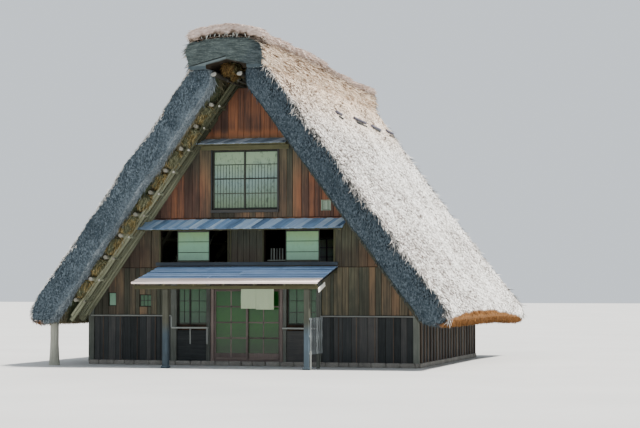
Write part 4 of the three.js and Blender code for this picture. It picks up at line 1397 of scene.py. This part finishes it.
def ridgeLogs():
    aslant, inner, struts = logs["sawn"], logs["inner"], logs["struts"]
    parts = []
    for side, x in logs["x"].items():
        log = pole((x, -logs["y"], logs["z"]), (x, logs["y"], logs["z"] - logs["fall"]), logs["radius"],
                   0.95, 12)
        for end in (-1, 1):
            across, along, up = aslant["normal"]
            sawn(log, (x, end * aslant["y"], logs["z"]), (across, end * along, up))
        parts.append(log)
        x = side * inner["x"]
        parts.append(pole((x, -inner["y"], inner["z"]), (x, inner["y"], inner["z"]), inner["radius"], 0.95,
                          9))
    for y in struts["at"]:
        parts.append(pole((-struts["x"], y, struts["z"]), (struts["x"], y, struts["z"]), struts["radius"], 1,
                          8))
    piece("ridge_log_poles", parts, ridgeLog, "pale_log", replaces=["ridge_logs"])
    ties = [ropeAt((x, y, logs["z"] - 0.01), logs["radius"] + 0.025) for x in logs["x"].values()
            for y in logs["tied"]]
    piece("ridge_log_ties", ties, rope, "straw_rope")


roofFrame(1)
roofFrame(-1)
ridgeLogs()
slopeTies("right", 1)
slopeTies("left", -1)
bundleSticks()
print("poles")

# Straw packed between the purlin ends and under the ridge's ends

packing = {
    "locks": {"density": 720, "length": 0.13, "width": 0.013, "lift": 0.4, "spread": 0.6,
              "sizes": (0.5, 1.3)},
    "voxel": 0.06, "lumps": (0.25, 0.1), "depth": 0.86,
    "long": (0.2, 0.29), "deep": (0.06, 0.12), "wide": (0.24, 0.4),
    # the sunny side's pads are thinner and end further in
    "thin": {-1: 1, 1: 0.4}, "reach": {-1: 5.25, 1: 5.1},
    # two pads under each end of the ridge: low and high corner, place, seed
    "apex": (((-0.24, -0.5, -0.12), (0.16, 0.5, 0.14), (0, 5.35, 8.42), 350),
             ((-0.09, -0.2, -0.16), (0.05, 0.2, 0.2), (0, 5.4, 8.3), 351)),
}


def strawPad(low, high, turn, place, seed):
    pad = modify(block("pad", low, high), "REMESH", mode="VOXEL", voxel_size=packing["voxel"])
    smooth(ruffle(pad, *packing["lumps"], depth=3))
    pad.data.transform(Matrix.Translation(place) @ turn)
    return [pad, strew("locks", twinOf(pad), {**packing["locks"], "seed": seed})]


def packedStraw(end, side):
    turn = Matrix.Rotation(side * slopeAngle, 4, "Y")
    parts = []
    for number in range(poles["purlins"] - 1):
        z = poles["first"] + poles["pitch"] * (number + 0.55)
        long, deep, wide = (dice.uniform(*packing[key]) for key in ("long", "deep", "wide"))
        deep = deep * packing["thin"][side]
        place = (side * halfWidth(packing["depth"], z), end * (packing["reach"][side] - wide * 0.5), z)
        parts += strawPad((-long, -wide, -deep), (long, wide, deep), turn, place, 300 + number)
    return parts


mossStraw = strawFinish("mossStraw", ((60, 62, 46), (98, 100, 76), (150, 150, 120)), (46, 47, 36),
                        other=((64, 54, 34), (118, 102, 62), (176, 158, 112)))
# painted shade: the sunny side's packed straw, darkened as it lies in the eave's shade
shadedStraw = strawFinish("shadedStraw", ((40, 45, 44), (66, 72, 70), (104, 108, 102)), (36, 40, 38))
ochreStraw = strawFinish("ochreStraw", ((46, 36, 20), (86, 66, 36), (136, 112, 70)), (44, 34, 20),
                         other=((40, 42, 28), (70, 70, 46), (112, 110, 80)))
for end, name in endNames.items():
    for side, finish in ((-1, mossStraw), (1, shadedStraw)):
        piece("packed_straw_%s_%s" % (name, sideNames[side]), packedStraw(end, side), finish,
              "thatch")
    pads = []
    for low, high, (x, y, z), seed in packing["apex"]:
        pads += strawPad(low, high, Matrix.Identity(4), (x, end * y, z), seed)
    piece("apex_straw_" + name, pads, ochreStraw, "thatch")
    print("packed straw", name)

# Side walls under the eaves, sill stones, the eave post and the door curtain

sides = {
    "rise": (0.13, 1.5), "span": (-3.9, 3.9), "face": 5.011, "uneven": 0.006,
    "battens": {"reach": 3.88, "count": 19, "x": 5.045, "across": 0.04, "deep": 0.06},
}


def sideWall(side):
    name = sideNames[side]
    low, high = sides["rise"]
    y, end = sides["span"]
    boards = []
    while y < end - 0.02:
        width = min(dice.choice(gable["boards"]), end - y)
        x = side * (sides["face"] + dice.uniform(0, sides["uneven"]))
        boards.append(upright(x, y + width / 2, low, high, gable["thick"],
                              round(max(width - gable["seam"], 0.02), 2), 0.004))
        y += width
    look = sides["battens"]
    battens = [upright(side * look["x"], look["reach"] * (2 * number / look["count"] - 1), low, high,
                       look["across"], look["deep"], 0.006) for number in range(look["count"] + 1)]
    piece("side_boards_" + name, boards, darkWood, "dark_boards")
    piece("side_battens_" + name, battens, faintWood)


stones = {
    "long": (0.26, 0.5), "across": 0.15, "high": 0.14, "z": 0.06, "gap": 0.01, "lumps": (0.45, 0.18),
    "rows": (("x", 5.0, 4.075), ("y", 4.05, 5.0)),       # axis, how far it goes, how far out it lies
}


def sillStones():
    # a row of rough stones along the foot of each wall, all cut from one
    first = bevelled(block("stoneMaster", (-0.5, -0.5, -0.5), (0.5, 0.5, 0.5)), 0.16, 2)
    masters["stone"] = smooth(ruffle(first, *stones["lumps"]))
    across, high, z = stones["across"], stones["high"], stones["z"]
    parts = []
    for side in (-1, 1):
        for along, reach, off in stones["rows"]:
            at = -reach
            while at < reach - 0.05:
                long = min(dice.uniform(*stones["long"]), reach - at)
                middle, run = at + long / 2, long - stones["gap"]
                size = (run, across, high, 1) if along == "x" else (across, run, high, 1)
                place = (middle, side * off, z) if along == "x" else (side * off, middle, z)
                flip = Matrix.Rotation(dice.choice((0, math.pi)), 4, "Z")
                parts.append(twinOf(first, Matrix.Translation(place) @ Matrix.Diagonal(size) @ flip))
                at += long
    piece("sill_stones", parts, stone, "stone")


eave = {"x": -5.72, "y": -5.0, "z": 0.617, "high": 1.23, "radius": 0.125, "flareTo": 0.75, "flare": 0.5}


def eavePost():
    # a peeled trunk, thick at its foot, that carries the left eave's front corner
    x, y = eave["x"], eave["y"]
    post = settle(added(bpy.ops.mesh.primitive_cylinder_add, vertices=18, radius=eave["radius"],
                        depth=eave["high"], location=(x, y, eave["z"])))
    edit(post, "EDGE")
    pickEdges(lambda at, direction: abs(direction.z) > 0.9)
    bpy.ops.mesh.subdivide(number_cuts=7)
    done()
    for vertex in post.data.vertices:
        wider = 1 + eave["flare"] * max(0.0, eave["flareTo"] - vertex.co.z) ** 2
        vertex.co.x = x + (vertex.co.x - x) * wider
        vertex.co.y = y + (vertex.co.y - y) * wider
    smooth(ruffle(post, 0.3, 0.03), 40)
    writeGrain(post)
    post.name = "eave_post_trunk"
    dress(post, paleLog, replaces=["eave_post_left"])


curtain = {
    "rod": {"span": (-0.295, 0.825), "y": -4.17, "z": 2.284, "radius": 0.013}, "hooks": (-0.275, 0.805),
    # each cloth's left and right edge and its hem
    "cloths": {"left": (-0.235, 0.225, 1.655), "right": (0.22, 0.765, 1.63)}, "top": 2.268,
    # how much deeper the folds get downwards, how close
    "cuts": 22, "thick": 0.002, "folds": (0.01875, 26),
}


def clothFinish():
    finish = Finish("hempCloth", 0.95, 0.1)
    weave = finish.strands((60, 60, 14), 6, 2)
    mixed = weave * 0.5 + finish.strands((14, 14, 120), 4, 2) * 0.5
    return finish.done(finish.ramp(mixed, (0.3, (163, 181, 147)), (0.7, (203, 217, 185))), weave, 0.1, 0.002)


def doorCurtain(hemp):
    # two short cloths on a pole, side by side
    rod, top = curtain["rod"], curtain["top"]
    deep, close = curtain["folds"]
    y, z = rod["y"], rod["z"]
    parts = [pole(*((x, y, z) for x in rod["span"]), rod["radius"], 1, 8)]
    parts += [stick((x, y, z), (x, -4.05, z), 0.02, 0.02, 0.004, (0, 0, 1)) for x in curtain["hooks"]]
    piece("curtain_rod_pole", parts, oldWood, replaces=["curtain_rod"])
    for number, (name, (left, right, hem)) in enumerate(curtain["cloths"].items()):
        cloth = added(bpy.ops.mesh.primitive_plane_add, size=1,
                      location=((left + right) / 2, y - 0.002 - 0.006 * number, (hem + top) / 2))
        cloth.scale = (right - left, top - hem, 1)
        cloth.rotation_euler = (math.pi / 2, 0, 0)
        settle(cloth)
        edit(cloth, pick="SELECT")
        bpy.ops.mesh.subdivide(number_cuts=curtain["cuts"])
        done()
        for vertex in cloth.data.vertices:
            fold = deep * (top - vertex.co.z) * math.sin(vertex.co.x * close + number * 2)
            vertex.co.y += fold + 0.006 * math.sin(vertex.co.z * 9)
        modify(cloth, "SOLIDIFY", thickness=curtain["thick"], offset=0)
        smooth(cloth)
        cloth.name = "door_cloth_" + name
        dress(cloth, hemp, replaces=["door_curtain"])


sideWall(1)
sideWall(-1)
sillStones()
eavePost()
doorCurtain(clothFinish())

# Construction that stays as it is and only takes a finish

kept = {
    "foundation_floor": stone, "second_floor": oldWood, "third_floor": oldWood,
    **dict.fromkeys((
        "front_wall_left", "front_wall_right", "front_wall_over_door", "front_wall_second",
        "front_wall_upper", "front_wall_upper_right", "back_wall_ground", "back_wall_second",
        "back_wall_upper", "side_wall_left", "side_wall_right"), coreWood),
}
for name, finish in kept.items():
    for slot in bpy.data.objects[name].material_slots:
        slot.material = finish
print("kept nodes")

# Floor, lights and camera

light = {"fill": 1.0, "sky": (0.86, 0.93, 1, 1), "sun": 10.5, "softness": 4, "warmth": (1, 0.96, 0.9),
         "towards": (0.5, 0.02, 0.86)}
view = {
    "focal": 1695.7, "width": 640,        # in pixels
    "place": (15.71, -50.68, 2.25),
    "forward": (-0.2797, 0.9591, 0.0436),
}


def studio():
    floor = added(bpy.ops.mesh.primitive_plane_add, size=400, location=(0, 0, -0.002))
    floor.name = "studio_floor"
    settle(floor)
    finish = Finish("paleFloor", 0.85)
    floor.data.materials.append(finish.done(
        finish.ramp(finish.spots(0.2, 2), (0.3, (188, 188, 187)), (0.7, (197, 197, 195)))))
    world = bpy.data.worlds.new("studio")
    bpy.context.scene.world = world
    world.use_nodes = True
    sky = world.node_tree.nodes["Background"].inputs
    sky["Color"].default_value = light["sky"]
    sky["Strength"].default_value = light["fill"]
    bpy.ops.object.light_add(type="SUN")
    sun = bpy.context.active_object
    sun.data.energy = light["sun"]
    sun.data.angle = math.radians(light["softness"])
    sun.data.color = light["warmth"]
    sun.rotation_euler = Vector(light["towards"]).to_track_quat("Z", "Y").to_euler()


def camera():
    bpy.ops.object.camera_add()
    eye = bpy.context.active_object
    eye.data.sensor_width = 36
    eye.data.lens = view["focal"] / view["width"] * eye.data.sensor_width
    eye.data.clip_end = 1000
    eye.location = view["place"]
    eye.rotation_euler = Vector(view["forward"]).to_track_quat("-Z", "Y").to_euler()
    bpy.context.scene.camera = eye


studio()
camera()

for master in masters.values():
    discard(master)
